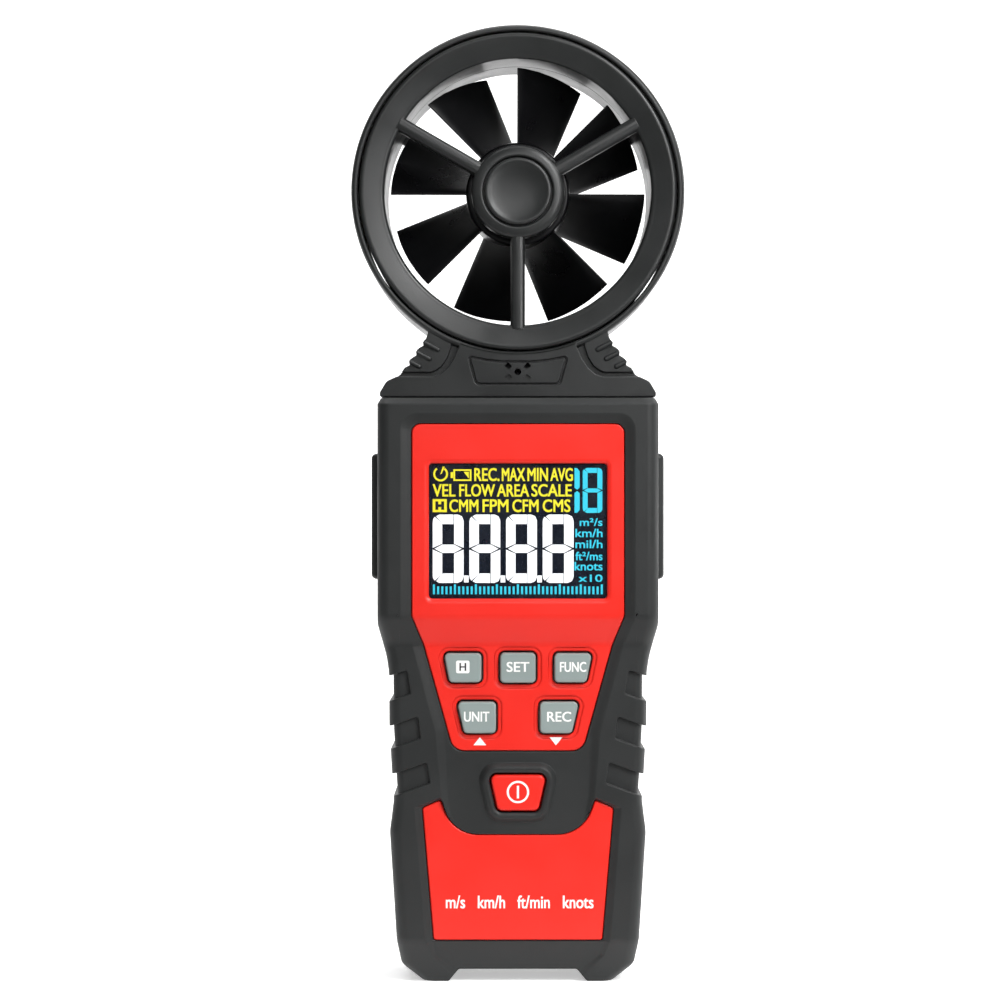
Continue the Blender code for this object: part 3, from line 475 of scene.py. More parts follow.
def feed_colours(made, factor, first, second):
    """Blend two base colours by a texture."""
    mix = add_node(made, "ShaderNodeMix", data_type="RGBA")
    mix.inputs["A"].default_value = (*first, 1.0)
    mix.inputs["B"].default_value = (*second, 1.0)
    made.node_tree.links.new(factor, mix.inputs["Factor"])
    feed(made, mix.outputs["Result"], "Base Color")


def feed_bump(made, texture, strength, distance):
    """Let a texture raise the surface."""
    bump = add_node(made, "ShaderNodeBump", Strength=strength, Distance=distance)
    made.node_tree.links.new(texture.outputs["Fac"], bump.inputs["Height"])
    feed(made, bump.outputs["Normal"], "Normal")


def moulded(name, colour, roughness, grain_scale, grain_height, spread=0.06, tint=0.12,
            **sockets):
    """Moulded plastic or rubber: fine grain, cloudy gloss and slight colour drift."""
    made = principled(name, colour, roughness, **sockets)
    cloud = noise(made, 90.0, 4.0)
    feed(made, remap(made, cloud.outputs["Fac"], roughness - spread, roughness + spread),
         "Roughness")
    feed_colours(made, cloud.outputs["Fac"], [c * (1 - tint) for c in colour],
                 [min(1.0, c * (1 + tint)) for c in colour])
    feed_bump(made, noise(made, grain_scale, 2.0, 0.6), 0.35, grain_height)
    return made


def metal(name, colour, roughness):
    """Plated steel with fine scratches."""
    made = principled(name, colour, roughness, Metallic=1.0)
    scratches = noise(made, 2500.0, 5.0, 0.7)
    feed(made, remap(made, scratches.outputs["Fac"], roughness - 0.08, roughness + 0.14),
         "Roughness")
    feed_bump(made, scratches, 0.15, 0.02 * MM)
    return made


def printed(name, colour, glow=0.0):
    """Ink or a lit display segment."""
    made = principled(name, colour, 0.5)
    if glow:
        shader = made.node_tree.nodes["Principled BSDF"]
        shader.inputs["Emission Color"].default_value = (*colour, 1.0)
        shader.inputs["Emission Strength"].default_value = glow
    feed(made, remap(made, noise(made, 3000.0, 2.0).outputs["Fac"], 0.42, 0.58), "Roughness")
    return made


def circuit_green():
    """Solder mask with faint track shapes under it."""
    made = principled("circuit_green", (0.012, 0.14, 0.05), 0.35)
    coordinates = add_node(made, "ShaderNodeTexCoord")
    tracks = add_node(made, "ShaderNodeTexVoronoi", Scale=260.0, distance="MANHATTAN",
                      feature="F1")
    made.node_tree.links.new(coordinates.outputs["Object"], tracks.inputs["Vector"])
    feed_colours(made, tracks.outputs["Distance"], (0.02, 0.2, 0.07), (0.006, 0.09, 0.03))
    return made


RED = moulded("red_abs", (0.80, 0.020, 0.011), 0.38, 5200.0, 0.02 * MM, tint=0.03,
              Specular_IOR_Level=0.35)
RUBBER = moulded("soft_black_rubber", (0.017, 0.0183, 0.0183), 0.50, 4200.0, 0.05 * MM,
                 Specular_IOR_Level=0.35)
SATIN = moulded("satin_black_abs", (0.013, 0.014, 0.014), 0.36, 5000.0, 0.03 * MM,
                Specular_IOR_Level=0.45)
VANE = moulded("vane_black", (0.003, 0.003, 0.0035), 0.32, 5000.0, 0.01 * MM,
               Specular_IOR_Level=0.22)
KEY = moulded("key_silicone", (0.25, 0.30, 0.29), 0.50, 6000.0, 0.03 * MM, tint=0.04)
STEEL = metal("plated_steel", (0.55, 0.55, 0.56), 0.32)
NICKEL = metal("magnet_nickel", (0.47, 0.45, 0.42), 0.25)
BOARD = circuit_green()
EPOXY = moulded("black_epoxy", (0.012, 0.012, 0.013), 0.45, 7000.0, 0.02 * MM)
WHITE_PLASTIC = moulded("white_diffuser", (0.78, 0.78, 0.76), 0.45, 5000.0, 0.02 * MM, tint=0.03)
SLEEVE = moulded("cell_sleeve", (0.02, 0.07, 0.22), 0.3, 4000.0, 0.02 * MM, tint=0.2)
INK = printed("white_ink", (0.86, 0.86, 0.84))
LCD_WHITE = printed("lcd_white", (0.93, 0.95, 0.97), 0.75)
LCD_YELLOW = printed("lcd_yellow", (0.80, 0.72, 0.02), 0.55)
LCD_CYAN = printed("lcd_cyan", (0.03, 0.55, 0.72), 0.6)
LCD_DARK = moulded("lcd_dark", (0.004, 0.007, 0.014), 0.25, 3000.0, 0.005 * MM)


# ---------------------------------------------------------------- body form
def size_at(profile, height):
    """Read a (height, size) profile, given in millimetres, at a height in metres."""
    level = height / MM
    if level <= profile[0][0]:
        (low, start), (high, end) = profile[:2]
        return (start + (end - start) * (level - low) / (high - low)) * MM
    for (low, start), (high, end) in zip(profile, profile[1:]):
        if level <= high:
            return (start + (end - start) * (level - low) / (high - low)) * MM
    return profile[-1][1] * MM


def soft_size(profile, height):
    """The same profile with its corners rounded over a short stretch."""
    if height < 2.0 * MM or height > BODY_TOP - 2.2 * MM:
        return size_at(profile, height)
    reach = CREASE_SOFTNESS * MM
    samples = [size_at(profile, height + reach * share / 4) for share in range(-4, 5)]
    return sum(samples) / len(samples)


def front_surface(height):
    """Depth of the front face at a height."""
    return -soft_size(BODY_FRONT, height)


def half_section(side, half_width, face, seam, radius, height):
    """The D-shaped section of one half of the body."""
    quarter = [radians(90 * step / BODY_ARC_STEPS) for step in range(BODY_ARC_STEPS + 1)]
    corner = [(half_width - radius + radius * cos(a), face - radius + radius * sin(a))
              for a in quarter]
    right = [(half_width, seam)] + corner
    whole = right + [(-x, y) for x, y in reversed(right)]
    return [(x, side * y, height) for x, y in whole]


def body_half(name, side, inset, bottom, top, seam):
    """Half of the body's form, front or back, moved inwards by an inset."""
    face_profile = BODY_FRONT if side == FRONT else BODY_BACK
    corner = FRONT_CORNER if side == FRONT else BACK_CORNER
    radius = max(corner - inset, 0.6 * MM)
    levels = {bottom, top}
    for z, _ in BODY_HALF_WIDTH + face_profile:
        for share in (-1.0, -0.5, 0.0, 0.5, 1.0):
            level = z + CREASE_SOFTNESS * share
            if bottom < (level - 0.01) * MM and (level + 0.01) * MM < top:
                levels.add(round(level, 3) * MM)
    kept = []
    for level in sorted(levels):
        if not kept or level - kept[-1] > 0.12 * MM or level == top:
            kept.append(level)
    rings = []
    for height in kept:
        half_width = soft_size(BODY_HALF_WIDTH, height) - inset
        face = soft_size(face_profile, height) - inset
        rings.append(half_section(side, half_width, face, seam, radius, height))
    return loft(name, rings)


def spread(inner, outer, step=1.2 * MM):
    """Cut the long edges of two matched outlines into the same number of short ones."""
    ends = zip(inner, inner[1:] + inner[:1], outer, outer[1:] + outer[:1])
    made_inner, made_outer = [], []
    for a, b, c, d in ends:
        parts = max(1, int((b - a).length / step)) if abs(a.y - b.y) > step else 1
        for part in range(parts):
            made_inner.append(a.lerp(b, part / parts))
            made_outer.append(c.lerp(d, part / parts))
    return made_inner, made_outer


def basin_tool(name, inner, outer, surface, floor):
    """A cutter whose sides sink softly from the outer outline to BASIN_DEPTH at the inner one.

    It goes on to a floor at a constant depth, or stops at the inner outline where floor is None.
    """
    inner, outer = spread(inner, outer)
    layers = []
    for step in range(BASIN_STEPS + 1):
        share = 1.2 * (1 - step / BASIN_STEPS)
        swing = 1 - (share / 1.2) ** 2 * (3 - 2 * share / 1.2)
        depth = (BASIN_DEPTH + 0.03 * MM) * swing - 0.03 * MM
        points = [i + (o - i) * share for i, o in zip(inner, outer)]
        layers.append((points, lambda z, sink=depth: surface(z) + sink))
    rise = (layers[0][0], -FAR if floor is not None else lambda z: surface(z) - 2 * MM)
    layers.insert(0, rise)
    if floor is not None:
        layers.append((inner, floor))
    return stack(name, layers)


# ---------------------------------------------------------------- front of the body
def outline_of(corners, growth=0.0, steps=8):
    """A mirrored outline, moved outwards by a growth in metres."""
    points = rounded(mirrored(corners), steps)
    return grown(points, growth) if growth else points


def key_outline(x, z, corners, growth=0.0):
    """A key's outline in the front plane."""
    points = rounded([(x + cx, z + cz, KEY_CORNER) for cx, cz in corners])
    return grown(points, growth) if growth else points


def power_outline(growth=0.0):
    """The power key's outline."""
    return outline_of(POWER_KEY, growth)


def notch_tools(side):
    """Slanted finger notches in both flanks, NOTCH_DEPTH deep."""
    core = body_half("notch_core", side, NOTCH_DEPTH, -1 * MM, BODY_TOP, -1 * MM)
    tools = []
    for top_x, top_z, low_x, low_z in NOTCHES:
        for hand in (-1, 1):
            reach = 40.0
            outline = [(top_x, top_z), (reach, top_z - (reach - top_x) * NOTCH_SLOPE),
                       (reach, low_z - (reach - low_x) * NOTCH_SLOPE), (low_x, low_z)]
            radii = (0.5, 0.0, 0.0, 0.5)
            points = rounded([(hand * x, z, radius) for (x, z), radius in zip(outline, radii)], 5)
            depths = sorted((side * -0.5 * MM, side * FAR))
            tool = prism(f"notch_{top_z:.0f}_{hand}", points, *depths)
            tools.append(cut(tool, duplicate(core)))
    bpy.data.objects.remove(core, do_unlink=True)
    return tools


def rail_pockets():
    """The pockets in the flanks that the side rails sit in."""
    low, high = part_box("side_rail_right")
    gap = 0.3 * MM
    return [box(f"pocket_{hand}", (min(hand * (low.x - gap), hand * 40 * MM), low.y - gap,
                                   low.z - gap),
                (max(hand * (low.x - gap), hand * 40 * MM), high.y + gap, high.z + gap))
            for hand in (-1, 1)]


def foot_notch():
    """The shallow trapezoid that is open between the two feet."""
    outline = [Vector((x, z)) * MM for x, z in ((-13.2, 2.85), (13.2, 2.85), (18.0, -3.0),
                                                (-18.0, -3.0))]
    return prism("foot_notch", outline, -FAR, FAR)


def power_lip():
    """The raised lip round the power key."""
    profile = ((2.7, -13.3), (2.7, -14.1), (2.3, -14.6), (1.8, -15.2), (1.4, -15.4),
               (0.9, -15.3), (0.6, -15.1))
    return stack("power_lip", [(power_outline(out * MM), depth * MM) for out, depth in profile])


def jacket_wall(name, side):
    """The plain wall of one jacket, from the foot to the collar."""
    return cut(body_half(name, side, 0.0, 0.0, BODY_TOP, HALF_GAP),
               body_half("cavity", side, JACKET_WALL, 5 * MM, BODY_TOP - JACKET_WALL, -5 * MM))


def inner_case(name, side):
    """The thin hard case inside one of the jackets."""
    return cut(*[body_half(name, side, inset, CASE_FLOOR + inset, BODY_TOP - inset, seam)
                 for inset, seam in ((CASE_INSET, HALF_GAP), (CAVITY_INSET, -5 * MM))])


def make_front_jacket():
    """The soft front jacket with its sunken basins, finger notches and power-key lip."""
    jacket = jacket_wall("soft_front_jacket", FRONT)
    gap = 0.15 * MM
    upper_rim = [(26.0, 127.4, 3.6), (26.0, 82.0, 2.0), (23.4, 75.4, 3.0), (18.5, 57.0, 0.0),
                 (16.8, 50.1, 3.2)]
    cut(jacket, basin_tool("upper_basin", outline_of(UPPER_PANEL, gap), outline_of(upper_rim),
                           front_surface, -8 * MM))
    middle_in = [(16.1, 60.0, 0.0), (16.0, 54.9, 0.5), (15.5, 42.0, 0.5), (14.0, 33.3, 0.0)]
    middle_out = [(18.6, 60.0, 0.0), (18.2, 54.9, 0.5), (17.1, 42.0, 0.5), (15.4, 33.1, 0.0)]
    cut(jacket, basin_tool("middle_basin", outline_of(middle_in), outline_of(middle_out),
                           grip_surface, None))
    fuse(jacket, power_lip())
    cut(jacket, prism("power_hole", power_outline(0.45 * MM), -FAR, -8 * MM))
    lower_rim = [(14.6, 34.0, 8.0), (17.2, 41.9, 0.5), (23.1, 39.6, 0.6), (20.6, 9.4, 0.6)]
    cut(jacket, basin_tool("lower_basin", outline_of(LOWER_PANEL, gap), outline_of(lower_rim),
                           front_surface, -8 * MM))
    cut(jacket, chin_tool())
    cut(jacket, *notch_tools(FRONT))
    cut(jacket, *rail_pockets())
    cut(jacket, foot_notch())
    soften(jacket, 0.26 * MM, 3, 38.0)
    return place(jacket, HOUSING, "soft_rubber", RUBBER, "front_jacket")


def grip_surface(height):
    """The flat front of the grip, the same at every height."""
    return GRIP_FACE


def chin_surface(height):
    """The sloping front between the lower panel and the feet."""
    return -10.0 * MM - (14.8 - 10.0) / 9.7 * height


def chin_tool():
    """The lowered strip under the lower red panel, between the feet."""
    inner = [(19.0, 12.0, 0.0), (18.9, 9.6, 0.5), (18.0, 6.2, 1.5), (13.9, 3.0, 0.5),
             (13.0, -4.0, 0.0)]
    outer = [(20.7, 12.0, 0.0), (20.5, 9.6, 0.5), (19.3, 6.3, 1.5), (15.3, 1.8, 0.5),
             (14.6, -4.0, 0.0)]
    return basin_tool("chin", outline_of(inner), outline_of(outer), chin_surface, None)


def front_slab(name, inset):
    """A slab across the whole width whose front follows the body's, moved in by an inset."""
    levels = {70.0, BODY_TOP / MM}
    for z, _ in BODY_FRONT:
        levels |= {z + CREASE_SOFTNESS * share / 4 for share in range(-4, 5)}
    heights = [z * MM for z in sorted(levels) if 70.0 <= z <= BODY_TOP / MM]
    side = [(front_surface(z) + inset, z) for z in heights]
    side += [(0.0, BODY_TOP), (0.0, 70.0 * MM), (0.0, 0.0), (side[0][0], 0.0)]
    return loft(name, [[(x, y, z) for y, z in side] for x in (-40 * MM, 40 * MM)])


def key_halo(x, z, corners):
    """The faint pocket in the red panel round a key."""
    floor = RED_FACE + 0.22 * MM
    wide, narrow = (key_outline(x, z, corners, growth * MM) for growth in (1.5, 1.1))
    return stack("halo", [(wide, -FAR), (wide, floor - 0.3 * MM), (narrow, floor)])


def make_red_panels():
    """The two red panels with the display window and the key openings, and the case behind."""
    upper = prism("red_panel_upper", outline_of(UPPER_PANEL), -FAR, -11.5 * MM)
    combine(upper, front_slab("upper_form", PANEL_INSET), "INTERSECT")
    half, low, high = WINDOW
    window = outline_of([(half, high, 0.8), (half, low, 0.8)])
    flared = grown(window, 0.9 * MM)
    face = -17.8 * MM + PANEL_INSET
    cut(upper, stack("window", [(flared, -FAR), (flared, face - 0.02 * MM),
                                (window, face + 0.45 * MM), (window, -5 * MM)]))
    for _, x, z, corners, _ in KEYS:
        cut(upper, key_halo(x, z, corners))
        cut(upper, prism("key_hole", key_outline(x, z, corners, 0.4 * MM), -FAR, -8 * MM))
    soften(upper, 0.30 * MM, 3, 18.0)
    place(upper, HOUSING, "red_plastic", RED, "front_case")
    lower = prism("red_panel_lower", outline_of(LOWER_PANEL), RED_FACE, -11.5 * MM)
    soften(lower, 0.35 * MM, 3, 20.0)
    place(lower, HOUSING, "red_plastic", RED, "front_case")
    inner = inner_case("red_inner_case", FRONT)
    for label, corners in (("upper", UPPER_PANEL), ("lower", LOWER_PANEL)):
        cut(inner, prism(f"seat_{label}", outline_of(corners, 0.02 * MM), -FAR, -8 * MM))
    cut(inner, prism("power_seat", power_outline(0.4 * MM), -FAR, -8 * MM))
    cut(inner, *rail_pockets())
    soften(inner, 0.15 * MM, 2, 25.0)
    place(inner, HOUSING, "red_plastic", RED, "front_case")


def make_rails():
    """The rounded rubber rails that stand proud of the flanks."""
    for label, hand in (("left", -1), ("right", 1)):
        low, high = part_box(f"side_rail_{label}")
        rail = box(f"soft_side_rail_{label}", low, high)
        soften(rail, 1.15 * MM, 6, 30.0)
        place(rail, HOUSING, "soft_rubber", RUBBER, f"side_rail_{label}")


# ---------------------------------------------------------------- keys
def lettering(name, text, height, width, centre, depth, thickness=0.04, bold=0.06):
    """Printed letters in the front plane, facing -Y, fitted to a size in millimetres.

    The letters are made bolder by laying copies of them a little apart.
    """
    curve = bpy.data.curves.new(name, "FONT")
    curve.body = text
    curve.align_x = "CENTER"
    curve.extrude = 0.5
    curve.resolution_u = 4
    holder = bpy.data.objects.new(name + "_text", curve)
    COLLECTION.objects.link(holder)
    graph = bpy.context.evaluated_depsgraph_get()
    mesh = bpy.data.meshes.new_from_object(holder.evaluated_get(graph))
    bpy.data.objects.remove(holder, do_unlink=True)
    xs = [v.co.x for v in mesh.vertices]
    ys = [v.co.y for v in mesh.vertices]
    middle = Vector(((min(xs) + max(xs)) / 2, (min(ys) + max(ys)) / 2, 0.0))
    rise = 0.6 * bold
    scale_x = (width - 2 * bold) * MM / (max(xs) - min(xs))
    scale_z = (height - 2 * rise) * MM / (max(ys) - min(ys))
    copies = []
    for index, (right, up) in enumerate(((-1, -1), (1, -1), (-1, 1), (1, 1))):
        copy = mesh.copy()
        for vertex in copy.vertices:
            x, y, z = vertex.co - middle
            vertex.co = (centre[0] + x * scale_x + right * bold * MM,
                         depth - (z * thickness + 0.001 * index) * MM,
                         centre[1] + y * scale_z + up * rise * MM)
        copies.append(new_object(f"{name}_{index}", copy))
    bpy.data.meshes.remove(mesh)
    return joined(name, copies)


def joined(name, objects):
    """Several meshes as one object."""
    form = bmesh.new()
    for item in objects:
        form.from_mesh(item.data)
        bpy.data.objects.remove(item, do_unlink=True)
    return from_form(name, form, recalc=False)


def plates(name, outlines, depth, thickness=0.04):
    """Thin printed shapes from outlines in metres."""
    made = [prism(f"{name}_{index}", [Vector(p) for p in outline], depth - thickness * MM, depth)
            for index, outline in enumerate(outlines)]
    return joined(name, made)


def disc_outline(centre, radius, steps=24, start=0.0, end=360.0):
    """Points round a circle in the front plane."""
    closed = abs(end - start) >= 360
    count = steps if closed else steps + 1
    return [(centre[0] + radius * cos(radians(start + (end - start) * k / steps)),
             centre[1] + radius * sin(radians(start + (end - start) * k / steps)))
            for k in range(count)]


def arc_band(centre, inner, outer, start, end, steps=28):
    """A curved band from one angle to another."""
    return (disc_outline(centre, outer, steps, start, end)
            + disc_outline(centre, inner, steps, end, start))


def key_cap(name, outline, front, back, edge, steps=6):
    """A key with a rounded front edge on a thin flange."""
    flange = grown(outline, 0.5 * MM)
    layers = [(flange, back), (flange, back - 0.7 * MM), (outline, back - 0.7 * MM)]
    for step in range(steps + 1):
        turn = radians(90 * step / steps)
        layers.append((grown(outline, -edge * (1 - cos(turn))), front + edge * (1 - sin(turn))))
    return shade(stack(name, layers))


def make_key(label, x, z, corners, legend):
    """One grey key with its printed legend."""
    low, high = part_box(f"key_{label}")
    key = key_cap(f"silicone_key_{label}", key_outline(x, z, corners), low.y, high.y, 0.45 * MM)
    body = f"button_{label}"
    place(key, body, "key_rubber", KEY, f"key_{label}")
    centre = (x * MM, (z + 0.22) * MM)
    depth = low.y + 0.015 * MM
    if legend == "H":
        frame_shape = rounded([(x + dx, z + 0.22 + dz, 0.4) for dx, dz in
                               ((-1.5, -1.42), (1.5, -1.42), (1.5, 1.42), (-1.5, 1.42))])
        mark = plates("legend_hold_plate", [frame_shape], depth)
        letter = lettering("legend_hold_letter", "H", 1.75, 1.5, centre, depth - 0.03 * MM, 0.03,
                           0.05)
        place(mark, body, "white_plastic", INK)
        place(letter, body, "black_plastic", EPOXY)
        return
    widths = {"SET": 5.1, "FUNC": 5.9, "UNIT": 5.7, "REC": 5.4}
    word = lettering(f"legend_{label}", legend, 2.25, widths[legend], centre, depth)
    place(word, body, "white_plastic", INK)


def make_power_key():
    """The red power key with its ring-and-bar symbol."""
    low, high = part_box("key_power")
    key = key_cap("red_power_key", power_outline(), low.y, high.y, 0.6 * MM)
    place(key, "button_power", "red_plastic", RED, "key_power")
    centre = (0.0, 43.1 * MM)
    depth = low.y + 0.015 * MM
    ring = arc_band(centre, 2.03 * MM, 2.5 * MM, 0, 359.5, 48)
    bar = [(-0.25 * MM, 41.7 * MM), (0.25 * MM, 41.7 * MM), (0.25 * MM, 44.5 * MM),
           (-0.25 * MM, 44.5 * MM)]
    mark = plates("legend_power", [ring, bar], depth)
    place(mark, "button_power", "white_plastic", INK)


def make_keys():
    """All six keys, the two printed triangles under them and the row of unit symbols."""
    for key in KEYS:
        make_key(*key)
    make_power_key()
    face = RED_FACE + 0.015 * MM
    triangles = []
    for x, up in ((-8.5, 1), (8.5, -1)):
        triangles.append([((x - 1.45) * MM, (54.3 - 0.9 * up) * MM),
                          ((x + 1.45) * MM, (54.3 - 0.9 * up) * MM),
                          (x * MM, (54.3 + 0.9 * up) * MM)])
    place(plates("arrow_marks", triangles, face), HOUSING, "white_plastic", INK)
    symbols = lettering("unit_symbols", "m/s   km/h   ft/min   knots", 2.9, 33.0,
                        (0.4 * MM, 18.4 * MM), face)
    place(symbols, HOUSING, "white_plastic", INK)


# ---------------------------------------------------------------- stage, light and camera
def make_stage():
    """A pale glowing floor that curves up into a backdrop, with painted shade that fades it to
    grey in front of the object.
    """
    floor = CAD_BOX[0].z
    profile = [(-1.6, floor)]
    profile += [(1.2 + 0.5 * sin(radians(a)), floor + 0.5 - 0.5 * cos(radians(a)))
                for a in range(0, 91, 6)]
    profile.append((1.7, 3.0))
    form = bmesh.new()
    rows = [[form.verts.new((x, y, z)) for y, z in profile] for x in (-3.0, 3.0)]
    for index in range(len(profile) - 1):
        form.faces.new((rows[0][index], rows[1][index], rows[1][index + 1], rows[0][index + 1]))
    stage = from_form("studio_sweep", form, recalc=False)
    stage.data.shade_smooth()
    paper = moulded("studio_paper", (0.92, 0.92, 0.92), 0.85, 800.0, 0.05 * MM, tint=0.005)
    shader = paper.node_tree.nodes["Principled BSDF"]
    shader.inputs["Emission Color"].default_value = (1.0, 1.0, 1.0, 1.0)
    split = add_node(paper, "ShaderNodeSeparateXYZ")
    paper.node_tree.links.new(add_node(paper, "ShaderNodeTexCoord").outputs["Object"],
                              split.inputs["Vector"])
    # Painted shade: the paper's colour darkens and its glow fades out towards the front of the
    # object, by depth along Y.
    feed(paper, remap(paper, split.outputs["Y"], 0.22, 0.92, -0.14, -0.018), "Base Color")
    feed(paper, remap(paper, split.outputs["Y"], 0.0, 0.45, -0.12, -0.018), "Emission Strength")
    stage.data.materials.append(paper)


def add_area_light(name, spot, target, size, power):
    """A soft rectangular light that looks at a point."""
    light = bpy.data.lights.new(name, "AREA")
    light.shape = "RECTANGLE"
    light.size, light.size_y = size
    light.energy = power
    lamp = bpy.data.objects.new(name, light)
    COLLECTION.objects.link(lamp)
    lamp.location = spot
    lamp.rotation_euler = (Vector(target) - Vector(spot)).to_track_quat("-Z", "Y").to_euler()


def make_lights():
    """Soft studio light from the front, the right, above and behind, in a grey world."""
    world = bpy.data.worlds.new("studio")
    world.use_nodes = True
    nodes, links = world.node_tree.nodes, world.node_tree.links
    coordinates = nodes.new("ShaderNodeTexCoord")
    split = nodes.new("ShaderNodeSeparateXYZ")
    ramp = nodes.new("ShaderNodeValToRGB")
    ramp.color_ramp.elements[0].position = 0.35
    ramp.color_ramp.elements[0].color = (0.10, 0.10, 0.10, 1.0)
    ramp.color_ramp.elements[1].position = 0.95
    ramp.color_ramp.elements[1].color = (0.75, 0.75, 0.75, 1.0)
    lift = nodes.new("ShaderNodeMapRange")
    lift.inputs["From Min"].default_value = -1.0
    links.new(coordinates.outputs["Generated"], split.inputs["Vector"])
    links.new(split.outputs["Z"], lift.inputs["Value"])
    links.new(lift.outputs["Result"], ramp.inputs["Fac"])
    links.new(ramp.outputs["Color"], nodes["Background"].inputs["Color"])
    nodes["Background"].inputs["Strength"].default_value = 0.38
    bpy.context.scene.world = world
    target = (0.0, 0.0, 0.11)
    add_area_light("key_light", (0.50, -0.65, 0.75), target, (0.35, 0.35), 7.5)
    add_area_light("near_light", (0.115, -0.17, 0.20), (0.02, 0.0, 0.14), (0.04, 0.14), 0.20)
    add_area_light("sheen_light", (0.10, -0.85, 0.42), target, (0.5, 0.25), 1.5)
    add_area_light("fill_light", (-0.7, -0.9, 0.30), target, (0.5, 0.9), 0.35)
    add_area_light("top_light", (0.0, 0.05, 0.95), target, (0.9, 0.5), 5.0)
    add_area_light("rim_light", (0.8, 0.25, 0.25), target, (0.3, 0.9), 3.0)
    add_area_light("back_light", (0.3, 0.9, 0.8), (0.0, 1.2, 0.3), (1.2, 0.8), 8.0)


def make_camera():
    """The camera at the photograph's viewing angle: level, just above mid height."""
    data = bpy.data.cameras.new("photo_camera")
    data.lens = 97.3
    data.sensor_width = 36.0
    data.clip_start = 0.01
    camera = bpy.data.objects.new("photo_camera", data)
    COLLECTION.objects.link(camera)
    camera.location = (-4.0 * MM, -617.8 * MM, 108.2 * MM)
    camera.rotation_euler = (radians(90), 0.0, 0.0)
    bpy.context.scene.camera = camera
    bpy.context.scene.view_settings.view_transform = "Standard"


# ---------------------------------------------------------------- vane head
def neck_points():
    """The neck's outline: flared base, shoulders and saw-toothed finger ribs."""
    return rounded(mirrored(NECK_OUTLINE), 3)


def ear_shapes(hand, side, outline, floor):
    """A prism over one shoulder, from a depth outwards."""
    points = [Vector((hand * x, z)) * MM for x, z in outline]
    depths = sorted((side * floor * MM, side * FAR))
    return prism(f"ear_{hand}_{side}_{floor}", points, *depths)


def ear_ribs(hand, side):
    """Three short rounded ribs across one shoulder."""
    way = Vector((cos(radians(EAR_RIB_ANGLE)), sin(radians(EAR_RIB_ANGLE))))
    across = Vector((-way.y, way.x))
    made = []
    for x, z, reach in EAR_RIBS:
        start, end = Vector((x, z)), Vector((x, z)) + way * reach
        outline = [start + across * EAR_RIB_HALF * cos(radians(a))
                   - way * EAR_RIB_HALF * sin(radians(a)) for a in range(0, 181, 20)]
        outline += [end - across * EAR_RIB_HALF, end + across * EAR_RIB_HALF]
        points = [Vector((hand * p.x, p.y)) * MM for p in outline]
        layers = [(points, side * 11.6 * MM), (points, side * 12.6 * MM),
                  (grown(points, -0.12 * MM), side * 12.95 * MM),
                  (grown(points, -0.34 * MM), side * 13.15 * MM)]
        made.append(stack(f"rib_{x:.0f}_{hand}_{side}", layers))
    return made


def on_side(side, profile):
    """A profile's depths moved to the front or the back of the vane."""
    return [(radius, side * depth) for radius, depth in profile]


def make_head_shell(side, label):
    """Half of the head's outer moulding: the flange ring and the neck under it."""
    depths = sorted((side * HALF_GAP, side * 13.3 * MM))
    shell = prism(f"satin_head_{label}", neck_points(), *depths)
    for hand in (-1, 1):
        cut(shell, ear_shapes(hand, side, EAR_LAND, 12.8))
        cut(shell, ear_shapes(hand, side, EAR_GROOVE, 11.8))
        limit = prism("rib_limit", grown(neck_points(), -0.03 * MM), -20 * MM, 20 * MM)
        for rib in ear_ribs(hand, side):
            fuse(shell, combine(rib, duplicate(limit), "INTERSECT"))
        bpy.data.objects.remove(limit, do_unlink=True)
    cut(shell, turned("neck_bore", [(0.0, -20), (36.35, -20), (36.35, 20), (0.0, 20)]))
    ring = [(37.35, 0.1), (37.35, 12.3), (37.15, 12.85), (36.8, 13.2), (36.4, 13.3),
            (35.95, 13.1), (35.9, 12.8), (35.9, 0.1)]
    fuse(shell, turned(f"{label}_flange", on_side(side, ring)))
    if side == FRONT:
        cut(shell, sensor_groove())
    else:
        for x in (-16.0, 16.0):
            spot = (x * MM, 0.0, 137.2 * MM)
            cut(shell, turned("screw_well", [(0.0, 11.5), (2.3, 11.5), (2.3, 20), (0.0, 20)], 48,
                              spot))
    soften(shell, 0.22 * MM, 2, 24.0)
    if side == FRONT:
        shade(cut(shell, *vent_tools()))
    place(shell, HOUSING, "black_plastic", SATIN, f"head_shell_{label}")


def sensor_groove():
    """The narrow groove round the cover of the temperature sensor."""
    plate = outline_of([(3.4, 139.1, 0.0), (6.8, 139.45, 0.0), (11.0, 140.25, 0.5),
                        (9.3, 134.1, 1.2)])
    groove = prism("groove", grown(plate, 0.22 * MM), -20 * MM, -12.7 * MM)
    return cut(groove, prism("plate", grown(plate, -0.22 * MM), -21 * MM, -12.0 * MM))


def vent_tools():
    """The sensor's round vent and four petals, the lower two of them shallow."""
    z = 136.9
    spot = (0.0, 0.0, z * MM)
    tools = [turned("vent_centre", [(0.0, -20), (0.75, -20), (0.75, -10), (0.0, -10)], 32, spot)]
    petal = [(1.3, 1.2), (2.0, 0.5), (3.0, 1.25), (2.2, 2.2)]
    for hand in (-1, 1):
        for up, floor in ((-1, -12.7), (1, -10.0)):
            points = rounded([(hand * px, z + up * pz, 0.12) for px, pz in petal], 3)
            tools.append(prism(f"petal_{hand}_{up}", points, -20 * MM, floor * MM))
    return tools


